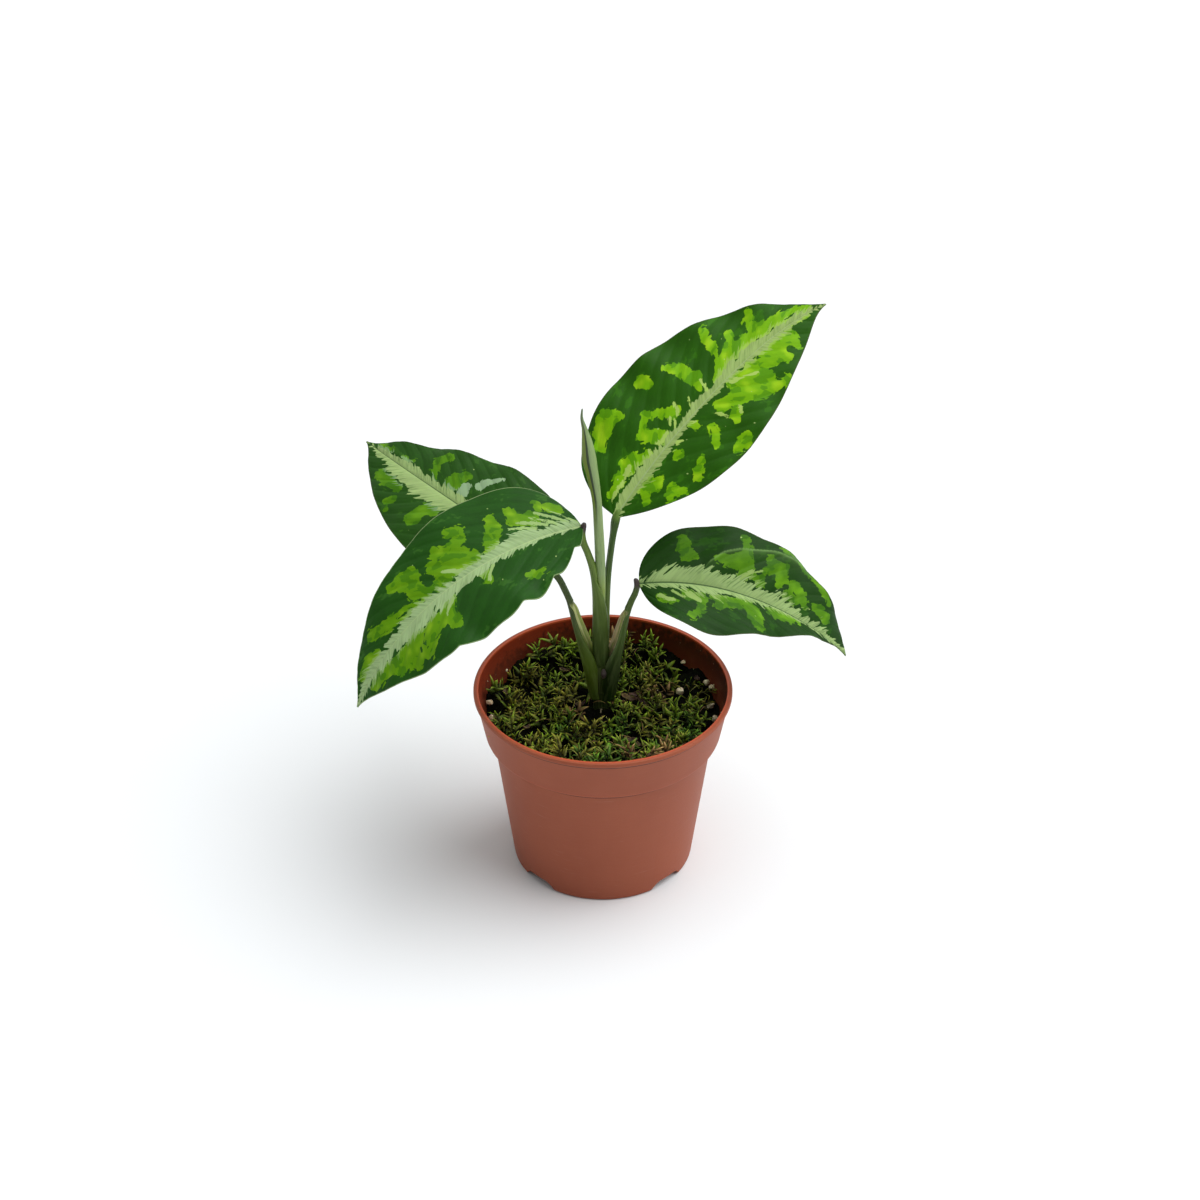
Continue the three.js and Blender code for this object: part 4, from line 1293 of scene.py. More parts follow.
@dataclass
class MineralGrains:
    """The loose chalky grains on the moss, and the crumbs stuck to the inner wall."""

    pot: NurseryPot
    radius: float = 1.25
    growth: Point = (1.15, 1.4)  # least and most size of a grain, as a share of the radius
    seed: int = 5
    places: Tuple[Tuple[str, float, float], ...] = (
        ("grain_1", 44.5, 8.0), ("grain_2", 45.5, -4.0), ("grain_3", 44.0, -19.0),
        ("grain_4", 36.0, 27.0), ("grain_5", 45.0, 184.0),
    )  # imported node, distance from the axis and angle
    crumbs: int = 60
    crumb_sizes: Point = (0.18, 0.42)
    crumb_heights: Point = (69, 77)  # where they stick to the wall
    chips: Rows = (
        (42.6, 17.4, 71.0, 1.5), (44.6, 13.8, 71.0, 1.25), (33.6, 32.0, 71.0, 0.9),
        (-46.4, 2.8, 71.5, 1.3), (-40.0, 24.5, 72.0, 0.7),
    )  # x, y, z and radius of loose chips that lie against the wall
    facets: int = 11  # how many flat sides a lump has
    sharp_angle: float = 30.0

    def centres(self) -> List[Vector]:
        """List where the grains lie, pressed into the moss."""
        found = []
        for _, out, angle in self.places:
            x, y = polar(out, radians(angle))
            found.append(Vector((x, y, moss_height(x, y) + self.radius * 0.6)))
        return found

    def lump(self, bm: Editor, draw: random.Random, centre: Vector, radius: float, fine: int) -> None:
        """Add one rough lump, chipped flat on a few sides.

        Args:
            bm: Where it goes.
            draw: Source of its shape.
            centre: Its middle.
            radius: Its size.
            fine: How often its faces are split.
        """
        verts = bmesh.ops.create_icosphere(bm, subdivisions=fine, radius=1.0)["verts"]
        chips = []
        for _ in range(self.facets):
            direction = Vector([draw.gauss(0, 1) for _ in range(3)]).normalized()
            chips.append((direction, draw.uniform(0.5, 0.82)))
        for vert in verts:
            for direction, depth in chips:
                above = vert.co.dot(direction) - depth
                if above > 0:
                    vert.co -= direction * above * 0.9
            vert.co *= 1 + 0.03 * sin(9 * vert.co.x + 7 * vert.co.y) * sin(11 * vert.co.z)
        size = Vector((draw.uniform(0.95, 1.4), draw.uniform(0.9, 1.25), 1.0)) * radius
        turn = Matrix.Rotation(draw.uniform(0, 3), 3, "Z")
        bmesh.ops.scale(bm, verts=verts, vec=size)
        bmesh.ops.rotate(bm, verts=verts, cent=(0, 0, 0), matrix=turn)
        bmesh.ops.translate(bm, verts=verts, vec=centre)

    def build(self, finish: MineralGrain) -> None:
        """Build the grains and the crumbs."""
        draw = random.Random(self.seed)
        material, slot = finish.material(), "mineral_grain"
        for (node, _, _), centre in zip(self.places, self.centres()):
            bm = bmesh.new()
            self.lump(bm, draw, centre, self.radius * draw.uniform(*self.growth), 4)
            name = node.replace("grain", "mineral_grain")
            finished(name, mesh_of(name, bm), material, [node], self.sharp_angle)
        bm = bmesh.new()
        for index in range(self.crumbs):
            angle = draw.uniform(0, tau)
            if index % 3:
                reach = 46 * sqrt(draw.random())
                height = moss_height(reach, 0) + draw.uniform(0.5, 2)
            else:
                height = draw.uniform(*self.crumb_heights)
                reach = self.pot.inner_radius(height) - 0.05
            centre = Vector((*polar(reach, angle), height))
            self.lump(bm, draw, centre, draw.uniform(*self.crumb_sizes), 2)
        for x, y, z, radius in self.chips:
            self.lump(bm, draw, Vector((x, y, z)), radius, 3)
        mesh = mesh_of("mineral_crumbs", bm)
        finished("mineral_crumbs", mesh, material, (), self.sharp_angle)


# ---- stems


def stem_frame(stations: Rows, share: Array) -> Tuple[Array, Array, Array]:
    """Follow a stem, with its sideways and depthways directions.

    Args:
        stations: The stem's stations.
        share: Places along it.

    Returns:
        The stations' numbers at each place, and unit vectors sideways (+X for an upright
        stem) and depthways (+Y).
    """
    step = 1e-3
    ahead = through(stations, np.minimum(share + step, 1))[:, :3]
    behind = through(stations, np.maximum(share - step, 0))[:, :3]
    along = ahead - behind
    along /= np.linalg.norm(along, axis=1)[:, None]
    depthways = np.array([0.0, 1.0, 0.0]) - along * along[:, 1:2]
    depthways /= np.linalg.norm(depthways, axis=1)[:, None]
    return through(stations, share), np.cross(depthways, along), depthways


def dome(share: Array, foot: float, top: float) -> Array:
    """Round off both ends of a stem.

    Args:
        share: Places along it.
        foot: Share of the length that the foot's rounding takes.
        top: Share of the length that the top's rounding takes.

    Returns:
        Factor for the radius, 0 at both ends.
    """
    low = np.sqrt(np.clip(1 - (1 - np.clip(share / foot, 0, 1)) ** 2, 0, 1))
    high = np.sqrt(np.clip(1 - (1 - np.clip((1 - share) / top, 0, 1)) ** 2, 0, 1))
    return low * high


def straight_skin(along: Array, turn: Array, radius: float, length: float) -> Array:
    """Lay a stem's skin out as a straight rod, so that streaks follow the stem."""
    around = turn * tau
    return np.stack([radius * np.cos(around), radius * np.sin(around), along * length], axis=1)


@dataclass
class Petiole:
    """One leaf stalk, whose foot opens into a sheath that clasps what stands inside it.

    A station is x, y, z, outer radius, sheath share (0 round, 1 open) and the opening's half
    angle in degrees.
    """

    name: str
    stations: Rows
    facing: float = 0.0  # where the sheath opens, in degrees from +X
    lit: int = 0  # which margin is pale: 0 the one left of facing, 1 the one right of it
    wall: float = 0.38  # thickness of the sheath's margin
    back: float = 1.7  # thickness of its back
    knee: Point = (6.0, 2.5)  # lengths from the top between which the knee's colour comes in
    rows: int = 150
    sides: int = 72

    def section(self, values: Array, turn: Array) -> Tuple[Array, Array, Array]:
        """Work out the cross-section.

        Args:
            values: The stations' numbers along the stalk.
            turn: Shares round its section, the outer skin first and then the inner one.

        Returns:
            Offsets sideways and depthways, and closeness to the sheath's margins.
        """
        radius, sheath, opening = values[:, 3], np.clip(values[:, 4], 0, 1), np.radians(values[:, 5])
        facing = radians(self.facing)
        outer = turn < 0.5
        half = np.where(outer, turn / 0.5, (turn - 0.5) / 0.5)
        start = np.where(outer, pi / 2, 1.5 * pi)
        round_angle = facing + (start + pi * half)
        sweep = 2 * pi - 2 * opening
        there, back = opening + sweep * half, 2 * pi - opening - sweep * half
        open_angle = facing + np.where(outer, there, back)
        backness = ((1 - np.cos(open_angle - facing)) / 2) ** 3
        wall = self.wall + (self.back - self.wall) * backness
        margin = np.exp(-((np.minimum(half, 1 - half) * sweep * radius) / 0.5) ** 2) * sheath
        rounding = np.where(outer, 1, -1) * margin * self.wall * 0.42
        open_radius = sheath * (np.where(outer, radius, radius - wall) - rounding)
        dent = 1 - 0.12 * (1 - sheath) * np.exp(-((half - 0.5) / 0.12) ** 2) * ~outer
        round_radius = (1 - sheath) * radius * dent
        side = round_radius * np.cos(round_angle) + open_radius * np.cos(open_angle)
        deep = round_radius * np.sin(round_angle) + open_radius * np.sin(open_angle)
        return side, deep, margin

    def place(self, along: Array, turn: Array) -> Array:
        """Give the place of each point of the skin."""
        values, sideways, depthways = stem_frame(self.stations, along)
        side, deep, _ = self.section(values, turn)
        ends = dome(along, 0.004, 0.022)
        return values[:, :3] + sideways * (side * ends)[:, None] + depthways * (deep * ends)[:, None]

    def marks(self, along: Array, turn: Array) -> Marks:
        """Give the values that the finish reads."""
        values = through(self.stations, along)
        path = np.array(self.stations, float)[:, :3]
        length = np.linalg.norm(np.diff(path, axis=0), axis=1).sum()
        _, _, margin = self.section(values, turn)
        side = np.where(turn < 0.5, turn * 2, 2 - turn * 2)
        first, last = self.knee
        return {
            "skin": straight_skin(along, turn, 1.6, length),
            "margin": margin * np.where(np.abs(side - self.lit) < 0.5, 1, 0.4),
            "inside": (turn > 0.5) * np.clip(values[:, 4], 0, 1),
            "knee": smooth(along * length, length - first, length - last),
        }

    def build(self, finish: StemSkin) -> None:
        """Build the stalk."""
        name = f"stalk_{self.name}"
        mesh = wrapped(name, self.rows, self.sides, self.place, self.marks)
        finished(name, mesh, finish.material(), [f"petiole_{self.name}"])


STALKS = (
    (
        Petiole("a", (
            (1.1, 6.2, 92.3, 1.4, 0, 60), (1.2, 6.3, 105, 1.4, 0, 60), (1.4, 6.6, 118, 1.4, 0, 60),
            (2, 7.2, 131, 1.35, 0, 60), (3, 7.6, 141, 1.3, 0, 60), (4.1, 7.9, 150, 1.4, 0, 60),
            (5.0, 8.3, 156, 1.75, 0, 60), (6.2, 9.8, 160, 1.2, 0, 60),
        ), facing=-150),
        StemSkin("stem_a", rgb(98, 124, 52), rgb(54, 84, 24), rgb(96, 128, 50), light=(112, 138)),
    ),
    (
        Petiole("b", (
            (-0.6, 4.4, 89.5, 3.3, 1, 10), (-0.6, 4.4, 92.3, 3.45, 1, 12),
            (-0.8, 4.2, 104, 3.45, 1, 16), (-1, 4.0, 116, 3.2, 1, 26), (-1.6, 3.7, 126, 2.8, 1, 60),
            (-3.3, 3.2, 135, 2.0, 0.3, 100), (-6, 2.7, 144, 1.45, 0, 90), (-7.9, 2.5, 150, 1.5, 0, 90),
            (-8.1, 2.4, 153.4, 1.45, 0, 90), (-7.6, 2.3, 156.2, 1.25, 0, 90),
            (-7.1, 2.3, 158.2, 0.95, 0, 90),
        ), back=1.1),
        StemSkin("stem_b", rgb(42, 60, 8), rgb(94, 120, 42), pale=rgb(52, 76, 28), light=(80, 142)),
    ),
    (
        Petiole("c", (
            (-2.2, 4, 73.5, 3.2, 1, 6), (-3.6, 3.9, 83, 3.5, 1, 8), (-5.6, 3.8, 93, 3.3, 1, 14),
            (-6.8, 3.8, 98, 3.1, 1, 30), (-8, 3.8, 103, 2.9, 1, 52), (-10.6, 3.8, 112.5, 2.3, 1, 62),
            (-11.8, 3.8, 117, 2.0, 1, 64), (-12.5, 3.8, 118.8, 1.7, 0.5, 70),
            (-13.1, 3.8, 120.4, 1.45, 0, 95), (-14.8, 3.7, 125, 1.35, 0, 95),
            (-18, 3.6, 132, 1.35, 0, 90), (-24, 3.7, 137.6, 1.35, 0, 90), (-29.4, 5, 140.2, 1.3, 0, 90),
        ), facing=-25),
        StemSkin(
            "stem_c", rgb(80, 102, 24), rgb(58, 74, 32), pale=rgb(238, 238, 180),
            lining=rgb(186, 200, 124), light=(90, 120),
        ),
    ),
    (
        Petiole("d", (
            (1.7, 3.6, 73.5, 3.2, 1, 6), (2.6, 3, 82, 3.7, 1, 8), (3.9, 2.3, 92, 3.5, 1, 14),
            (4.7, 2, 96.5, 3.25, 1, 28), (5.5, 1.8, 101, 3, 1, 48), (7.2, 1.4, 109.5, 2.5, 1, 58),
            (8.7, 1.1, 115.4, 2.0, 1, 62), (9.4, 1.1, 117.2, 1.7, 0.5, 70),
            (10.0, 1.0, 118.8, 1.45, 0, 94), (11.3, 0.9, 122.5, 1.3, 0, 92),
            (12.9, 0.7, 126.8, 1.25, 0, 90), (13.4, 0.6, 129.6, 1.2, 0, 90),
            (13.2, 0.6, 131.6, 1.1, 0, 90), (12.5, 0.6, 133.4, 0.8, 0, 90),
        ), facing=205, lit=1),
        StemSkin(
            "stem_d", rgb(22, 44, 2), rgb(72, 96, 34), pale=rgb(236, 214, 176),
            lining=rgb(170, 180, 108), light=(84, 112),
        ),
    ),
)


@dataclass
class RolledLeaf:
    """The new leaf, rolled to a spear with its lap running up the front."""

    stations: Rows = (
        (-0.9, 4.2, 92.3, 1.3), (-0.8, 4.2, 112.0, 1.6), (-0.9, 4.1, 130.0, 1.9),
        (-1.2, 4.0, 142.0, 2.0), (-1.7, 4.0, 155.0, 1.9), (-2.4, 4.0, 168.0, 1.9),
        (-4.0, 4.0, 179.0, 2.4), (-5.3, 4.0, 187.0, 2.7), (-6.0, 4.0, 193.0, 2.1),
        (-7.0, 4.0, 199.0, 1.1), (-8.1, 4.0, 204.0, 0.55), (-7.9, 4.0, 208.0, 0.3),
    )  # x, y, z and radius
    seam_turn: float = 0.705  # share of a turn from +X at which the lap's edge shows
    seam_drift: float = 0.05
    seam_width: float = 0.035
    lap_height: float = 0.24
    lap_from: float = 0.35  # share of the length from which the lap comes loose
    lap_full: float = 0.7
    skin_radius: float = 2.0
    skin_length: float = 118.0
    rows: int = 220
    sides: int = 84

    def lap(self, along: Array, turn: Array) -> Array:
        """Measure how far round from the lap's edge a point is, in turns from 0 to 1."""
        return np.mod(turn - self.seam_turn - self.seam_drift * (along - 0.5), 1.0)

    def place(self, along: Array, turn: Array) -> Array:
        """Give the place of each point of the skin."""
        values, sideways, depthways = stem_frame(self.stations, along)
        lap = self.lap(along, turn)
        over = smooth(lap, 0.0, self.seam_width)
        loose = smooth(along, self.lap_from, self.lap_full)
        radius = values[:, 3] * (1 + self.lap_height * loose * (1 - over + over * lap - 0.55))
        radius *= dome(along, 0.004, 0.006)
        angle = turn * tau
        side, deep = radius * np.cos(angle), radius * np.sin(angle)
        return values[:, :3] + sideways * side[:, None] + depthways * deep[:, None]

    def marks(self, along: Array, turn: Array) -> Marks:
        """Give the values that the finish reads."""
        lap = self.lap(along, turn)
        return {
            "skin": straight_skin(along, turn, self.skin_radius, self.skin_length),
            "seam": np.exp(-(np.minimum(lap, 1 - lap) / self.seam_width) ** 2),
            "lap": smooth(lap, 0.72, 0.82),
        }

    def build(self, finish: RolledLeafSkin) -> None:
        """Build the rolled leaf."""
        mesh = wrapped("rolled_leaf", self.rows, self.sides, self.place, self.marks)
        finished("rolled_leaf", mesh, finish.material(), ["spear"])


@dataclass
class Cane:
    """The short ringed cane in the middle, with a bud and a thin young root."""

    x: float = -0.4
    y: float = 4.6
    stations: Rows = (
        (50.0, 3.0), (58.0, 3.3), (62.0, 3.6), (70.0, 3.6), (74.0, 3.9),
        (77.0, 4.1), (84.0, 4.1), (88.0, 3.8), (90.0, 3.5), (92.0, 3.2),
    )  # height and radius
    rings: Tuple[float, ...] = (68.5, 72.5, 77.5)
    ring_depth: float = 0.22
    ring_width: float = 0.35
    bud: Rows = ((0.2, 0.2, 85.9, 0.8, 0, 60), (0.3, -0.4, 87.0, 1.1, 0, 60),
                 (0.3, -0.6, 88.5, 1.15, 0, 60), (0.2, -0.5, 90.2, 0.5, 0, 60))
    root: Rows = ((-0.6, 1.0, 69.5, 0.5, 0, 60), (-1.0, -0.4, 67.6, 0.4, 0, 60),
                  (-1.2, -1.5, 65.5, 0.33, 0, 60), (-1.0, -2.4, 63.2, 0.24, 0, 60))

    def place(self, along: Array, turn: Array) -> Array:
        """Give the place of each point of the skin."""
        heights, radii = zip(*self.stations)
        height = heights[0] + along * (heights[-1] - heights[0])
        radius = np.interp(height, heights, radii) * dome(along, 0.01, 0.01)
        for ring in self.rings:
            radius = radius + self.ring_depth * np.exp(-((height - ring) / self.ring_width) ** 2)
        angle = turn * tau
        radius = np.where((along > 0) & (along < 1), radius, 0)
        radius = radius * (1 + 0.03 * np.sin(3 * angle + height * 0.4))
        return np.stack([self.x + radius * np.cos(angle), self.y + radius * np.sin(angle), height], 1)

    def marks(self, along: Array, turn: Array) -> Marks:
        """Give the values that the finish reads: a skin without sheath or knee."""
        zero = np.zeros(len(along))
        skin = straight_skin(along, turn, 3.6, self.stations[-1][0] - self.stations[0][0])
        return {"skin": skin, "margin": zero, "inside": zero, "knee": zero}

    def build(self, finish: StemSkin) -> None:
        """Build the cane."""
        mesh = wrapped("cane_skin", 120, 56, self.place, self.marks)
        finished("cane_skin", mesh, finish.material(), ["cane"])

    def small_parts(self, finish: StemSkin) -> None:
        """Build the bud on the cane's front and the young root below it."""
        for name, stations in (("cane_bud", self.bud), ("young_root", self.root)):
            part = Petiole(name, stations)
            mesh = wrapped(name, 40, 20, part.place, part.marks)
            finished(name, mesh, finish.material())


# ---- blades


DRIP_TIP = 0.075  # share of a blade's length that the drawn-out tip takes
FAR = 9.0  # millimetres from a stroke's edge past which the distance doesn't count


@dataclass(frozen=True)
class Half:
    """Fullness and margin wave of one half of a blade."""

    share: float
    base_power: float
    tip_power: float
    wave: float
    waves: float
    phase: float
    ruffle: float = 0.0
    ruffles: float = 8.3
    ruffle_phase: float = 199.0
    notches: Tuple[Point, ...] = ()  # share of the length and depth of each dip in the margin
    notch_width: float = 0.022

    def width(self, share: Array, half_width: float, least: Array) -> Array:
        """Give the width of this half.

        Args:
            share: Shares of the blade's length.
            half_width: The blade's half width where it is widest.
            least: Half width of the keel, which is always there.

        Returns:
            The width at each place.
        """
        widest = self.base_power / (self.base_power + self.tip_power)
        peak = widest ** self.base_power * (1 - widest) ** self.tip_power
        full = share ** self.base_power * (1 - share) ** self.tip_power / peak
        drawn_out = 1 - 0.45 * np.exp(-((1 - share) / DRIP_TIP) ** 2)
        width = half_width * self.share * full * drawn_out
        for place, depth in self.notches:
            width = width - depth * np.exp(-np.abs((share - place) / self.notch_width) ** 1.4)
        return np.hypot(np.maximum(width, 0), least)

    def margin(self, share: Array, reach: Array) -> Tuple[Array, Array]:
        """Give the height of the margin's long waves, and of its ruffles, strongest at the base.

        Args:
            share: Shares of the blade's length.
            reach: Shares of the way from the midrib to the margin.

        Returns:
            Both heights at each place.
        """
        wave = self.wave * np.sin(tau * self.waves * share + radians(self.phase))
        ruffle = np.sin(tau * self.ruffles * share + radians(self.ruffle_phase))
        fading = np.clip(1.25 - 1.6 * share, 0.25, 1) * reach ** 5
        return wave * reach ** 2, self.ruffle * ruffle * fading


@dataclass(frozen=True)
class Stroke:
    """A brush stroke on a blade: its end radii, and points along and across the midrib."""

    radius: float
    end_radius: float
    points: Tuple[Point, ...]

    def depth(self, x: Array, y: Array) -> Array:
        """Measure how deep points lie inside the stroke.

        Args:
            x: Places along the midrib.
            y: Places across it.

        Returns:
            Depth below the stroke's edge, negative outside it.
        """
        points = self.points if len(self.points) > 1 else self.points * 2
        radii = np.linspace(self.radius, self.end_radius, len(points))
        depth = np.full(x.shape, -FAR)
        for (ax, ay), (bx, by), start, end in zip(points, points[1:], radii, radii[1:]):
            length = (bx - ax) ** 2 + (by - ay) ** 2
            along = ((x - ax) * (bx - ax) + (y - ay) * (by - ay)) / length if length else 0 * x
            along = np.clip(along, 0, 1)
            away = np.hypot(x - ax - along * (bx - ax), y - ay - along * (by - ay))
            depth = np.maximum(depth, start + (end - start) * along - away)
        return depth


def strokes(*rows: Sequence[float]) -> Tuple[Stroke, ...]:
    """Make strokes from rows of two end radii and then each point's x and y."""
    return tuple(Stroke(*row[:2], tuple(zip(row[2::2], row[3::2]))) for row in rows)


def covered(strokes: Sequence[Stroke], x: Array, y: Array) -> Array:
    """Measure how deep points lie inside any of some strokes, negative outside them."""
    depth = np.full(x.shape, -FAR)
    for stroke in strokes:
        depth = np.maximum(depth, stroke.depth(x, y))
    return depth


@dataclass(frozen=True)
class Markings:
    """What is painted on a blade: lime blotches, holes in them, a silver band and pale flames."""

    lime: Tuple[Stroke, ...]
    holes: Tuple[Stroke, ...]
    band_left: Tuple[Point, ...]
    band_right: Tuple[Point, ...]
    flames: Tuple[Stroke, ...]


@dataclass(frozen=True)
class Blade:
    """One leaf blade: how its midrib runs, how it arches, and what is painted on it.

    Angles are in degrees. The heading is counted from +X, and left is left of the heading.
    """

    name: str
    base: Triple
    heading: float
    sweep: float  # how far the heading turns from base to tip
    rise: float
    droop: float  # how much less steeply it rises at the tip
    length: float
    half_width: float
    roll: float
    twist: float  # how far the roll changes from base to tip
    fold: float  # how far each half rises from the midrib
    curl: float  # how far it bends down again towards its margin
    left: Half
    right: Half
    bow: Point  # how far the midrib bows to the left, and at which share of the length most
    markings: Markings
    finish: BladeSkin
    shift: float  # moves the patterns, so that no two leaves tear alike
    crease: Tuple[Point, ...] = ()  # shares along and across of a fold left of the midrib
    crease_height: float = 3.0
    thickness: float = 0.42
    keel: float = 1.25
    keel_half_width: float = 1.3
    tip_half_width: float = 0.35
    vein_spacing: float = 10.0
    vein_lean: float = 0.75
    vein_bend: float = 0.8
    chip_lean: float = 0.4  # how far the blotches' torn chips follow the side veins
    quilt: float = 0.42
    minor_quilt: float = 0.06
    rows: int = 300
    columns: int = 112

    def directions(self, share: Array) -> Tuple[Array, Array, Array]:
        """Give the blade's own directions: along, leftward and upward."""
        heading = np.radians(self.heading + self.sweep * (share - 0.5))
        pitch = np.radians(self.rise - self.droop * share)
        level_x, level_y = np.cos(heading), np.sin(heading)
        along = np.stack([np.cos(pitch) * level_x, np.cos(pitch) * level_y, np.sin(pitch)], axis=1)
        level = np.stack([-level_y, level_x, 0 * heading], axis=1)
        normal = np.cross(along, level)
        roll = np.radians(self.roll + self.twist * (share - 0.5))[:, None]
        leftward = level * np.cos(roll) + normal * np.sin(roll)
        return along, leftward, np.cross(along, leftward)

    def midrib(self, share: Array) -> Array:
        """Give the midrib's points at shares of the length."""
        steps = 600
        along, _, _ = self.directions((np.arange(steps) + 0.5) / steps)
        points = np.vstack([self.base, self.base + np.cumsum(along, 0) * self.length / steps])
        places = np.linspace(0, 1, steps + 1)
        return np.stack([np.interp(share, places, column) for column in points.T], axis=1)

    def mesh(self) -> Mesh:
        """Model the blade as a closed thin slab and mark its pattern."""
        bm = square_sheet(self.rows, self.columns)
        bmesh.ops.solidify(bm, geom=bm.faces[:], thickness=0.01)
        mesh = closed(f"blade_{self.name}", bm)
        flat = coordinates(mesh)
        share = np.clip(flat[:, 0], 0, 1)
        across = np.clip(flat[:, 1] * 2 - 1, -1, 1)
        under = flat[:, 2] < (flat[:, 2].min() + flat[:, 2].max()) / 2
        across = np.sign(across) * (1 - (1 - np.abs(across)) ** 1.12)
        reach, on_left = np.abs(across), across >= 0

        least = self.keel_half_width + (self.tip_half_width - self.keel_half_width) * np.sqrt(share)
        widths = [half.width(share, self.half_width, least) for half in (self.left, self.right)]
        half_width = np.where(on_left, *widths)
        x, y = share * self.length, across * half_width
        vein = x - self.vein_lean * np.abs(y) - self.vein_bend * y ** 2 / half_width

        fold, curl = radians(self.fold), radians(self.curl)
        outward = (sin(fold) - np.sin(fold - curl * reach)) / curl
        arch = (np.cos(fold - curl * reach) - cos(fold)) / curl
        waves = [half.margin(share, reach) for half in (self.left, self.right)]
        wave, ruffle = np.where(on_left, *waves)
        fade = np.minimum(1, half_width / (0.4 * self.half_width))
        wave = (wave + ruffle + self.creasing(share, reach, on_left)) * fade
        bow = self.bow[0] * np.sin(pi * share ** (logarithm(0.5) / logarithm(self.bow[1])))

        rib_radius = 0.35 + 0.85 * (1 - share) ** 0.8
        groove = 0.42 * (1 - 0.7 * share) * np.exp(-(y / (0.75 * rib_radius)) ** 2)
        keel = self.keel * (1 - share ** 1.5) * np.exp(-(y / rib_radius) ** 2)
        ease = np.minimum(1, half_width / 3)
        skin = self.thickness / 2 * (1 - 0.35 * reach ** 6)
        lift = arch * half_width + wave + self.quilting(vein, x, y, reach) * ease
        lift = lift + np.where(under, -skin - keel, skin - groove * ease)
        side = bow * (1 - reach) + np.sign(across) * outward * half_width
        _, leftward, upward = self.directions(share)
        places = self.midrib(share) + leftward * side[:, None] + upward * lift[:, None]
        mesh.vertices.foreach_set("co", places.astype(np.float32).ravel())
        mesh.update()
        self.mark(mesh, x, y, vein, half_width)
        paint(mesh, "under", under.astype(float))
        return mesh

    def quilting(self, vein: Array, x: Array, y: Array, reach: Array) -> Array:
        """Sink the side veins between low cushions.

        Args:
            vein: Where the side vein through each point leaves the midrib.
            x: Place along.
            y: Place across.
            reach: Share of the way from the midrib to the margin.

        Returns:
            Height of the quilting.
        """
        offset = np.where(y >= 0, 0.0, 0.42) * self.vein_spacing
        phase = (vein + offset) / self.vein_spacing + 0.13 * np.sin(x * 0.11)
        cushion = np.abs(np.sin(pi * phase)) ** 0.7
        minor = np.abs(np.sin(pi * (phase * 3 + 0.2)))
        body = smooth(reach, 0.03, 0.22) * (1 - 0.55 * smooth(reach, 0.75, 1.0))
        return (self.quilt * (cushion - 0.55) + self.minor_quilt * minor) * body

    def crease_window(self, share: Array, opening: Point, closing: Point) -> Array:
        """Fade the crease in and out.

        Args:
            share: Shares of the length.
            opening: Where it fades in, counted from its first point.
            closing: Where it fades out, counted from its last point.

        Returns:
            1 where the crease is full.
        """
        first, last = self.crease[0][0], self.crease[-1][0]
        opened = smooth(share, first + opening[0], first + opening[1])
        return opened * (1 - smooth(share, last + closing[0], last + closing[1]))

    def creasing(self, share: Array, reach: Array, on_left: Array) -> Array:
        """Give the height of the crease, highest along its line."""
        if not self.crease:
            return 0 * share
        line = np.interp(share, *zip(*self.crease))
        window = self.crease_window(share, (-0.1, 0.08), (-0.12, 0.1))
        tent = np.minimum(reach / line, (1 - reach) / (1 - line))
        return on_left * self.crease_height * window * tent ** 1.15

    def crease_light(self, x: Array, y: Array, half_width: Array) -> Array:
        """Give 1 where the crease catches the light, and less than 0 on the shaded slope past it."""
        if not self.crease:
            return 0 * x
        share = x / self.length
        window = self.crease_window(share, (-0.02, 0.06), (-0.08, 0.04))
        beyond = y - np.interp(share, *zip(*self.crease)) * half_width
        slopes = np.where(beyond < 0, 0.4 * np.exp(beyond / 3.5), -0.3 * np.exp(-beyond / 4))
        return (np.exp(-(beyond / 0.55) ** 2) * 0.7 + slopes) * window * (y > 0)

    def mark(self, mesh: Mesh, x: Array, y: Array, vein: Array, half_width: Array) -> None:
        """Mark each vertex with its depth in the markings, and its place for the patterns.

        Args:
            mesh: The blade.
            x: Place along the midrib.
            y: Place across it.
            vein: Where the side vein through each point leaves the midrib.
            half_width: Half width there.
        """
        marks = self.markings
        lime = np.minimum(covered(marks.lime, x, y), -covered(marks.holes, x, y))
        left, right = (np.interp(x, *zip(*edge)) for edge in (marks.band_left, marks.band_right))
        lean = x - self.chip_lean * np.abs(y)
        layers = {
            "lime": lime,
            "silver": np.clip(np.minimum(left - y, y - right), -FAR, FAR),
            "flames": covered(marks.flames, x, y),
            # painted highlight and painted shade along the crease
            "fold": self.crease_light(x, y, half_width),
            "weave": np.stack([vein + self.shift, y, 0 * x], axis=1),
            "plan": np.stack([lean + self.shift, y, 0 * x], axis=1),
            "rib": y / (1 - 0.75 * x / self.length),
            "rim": half_width - np.abs(y),
        }
        for name, values in layers.items():
            paint(mesh, name, values)

    def build(self) -> None:
        """Build the blade."""
        name, node = f"blade_{self.name}", f"leaf_{self.name}"
        finished(name, self.mesh(), self.finish.material(), [node])
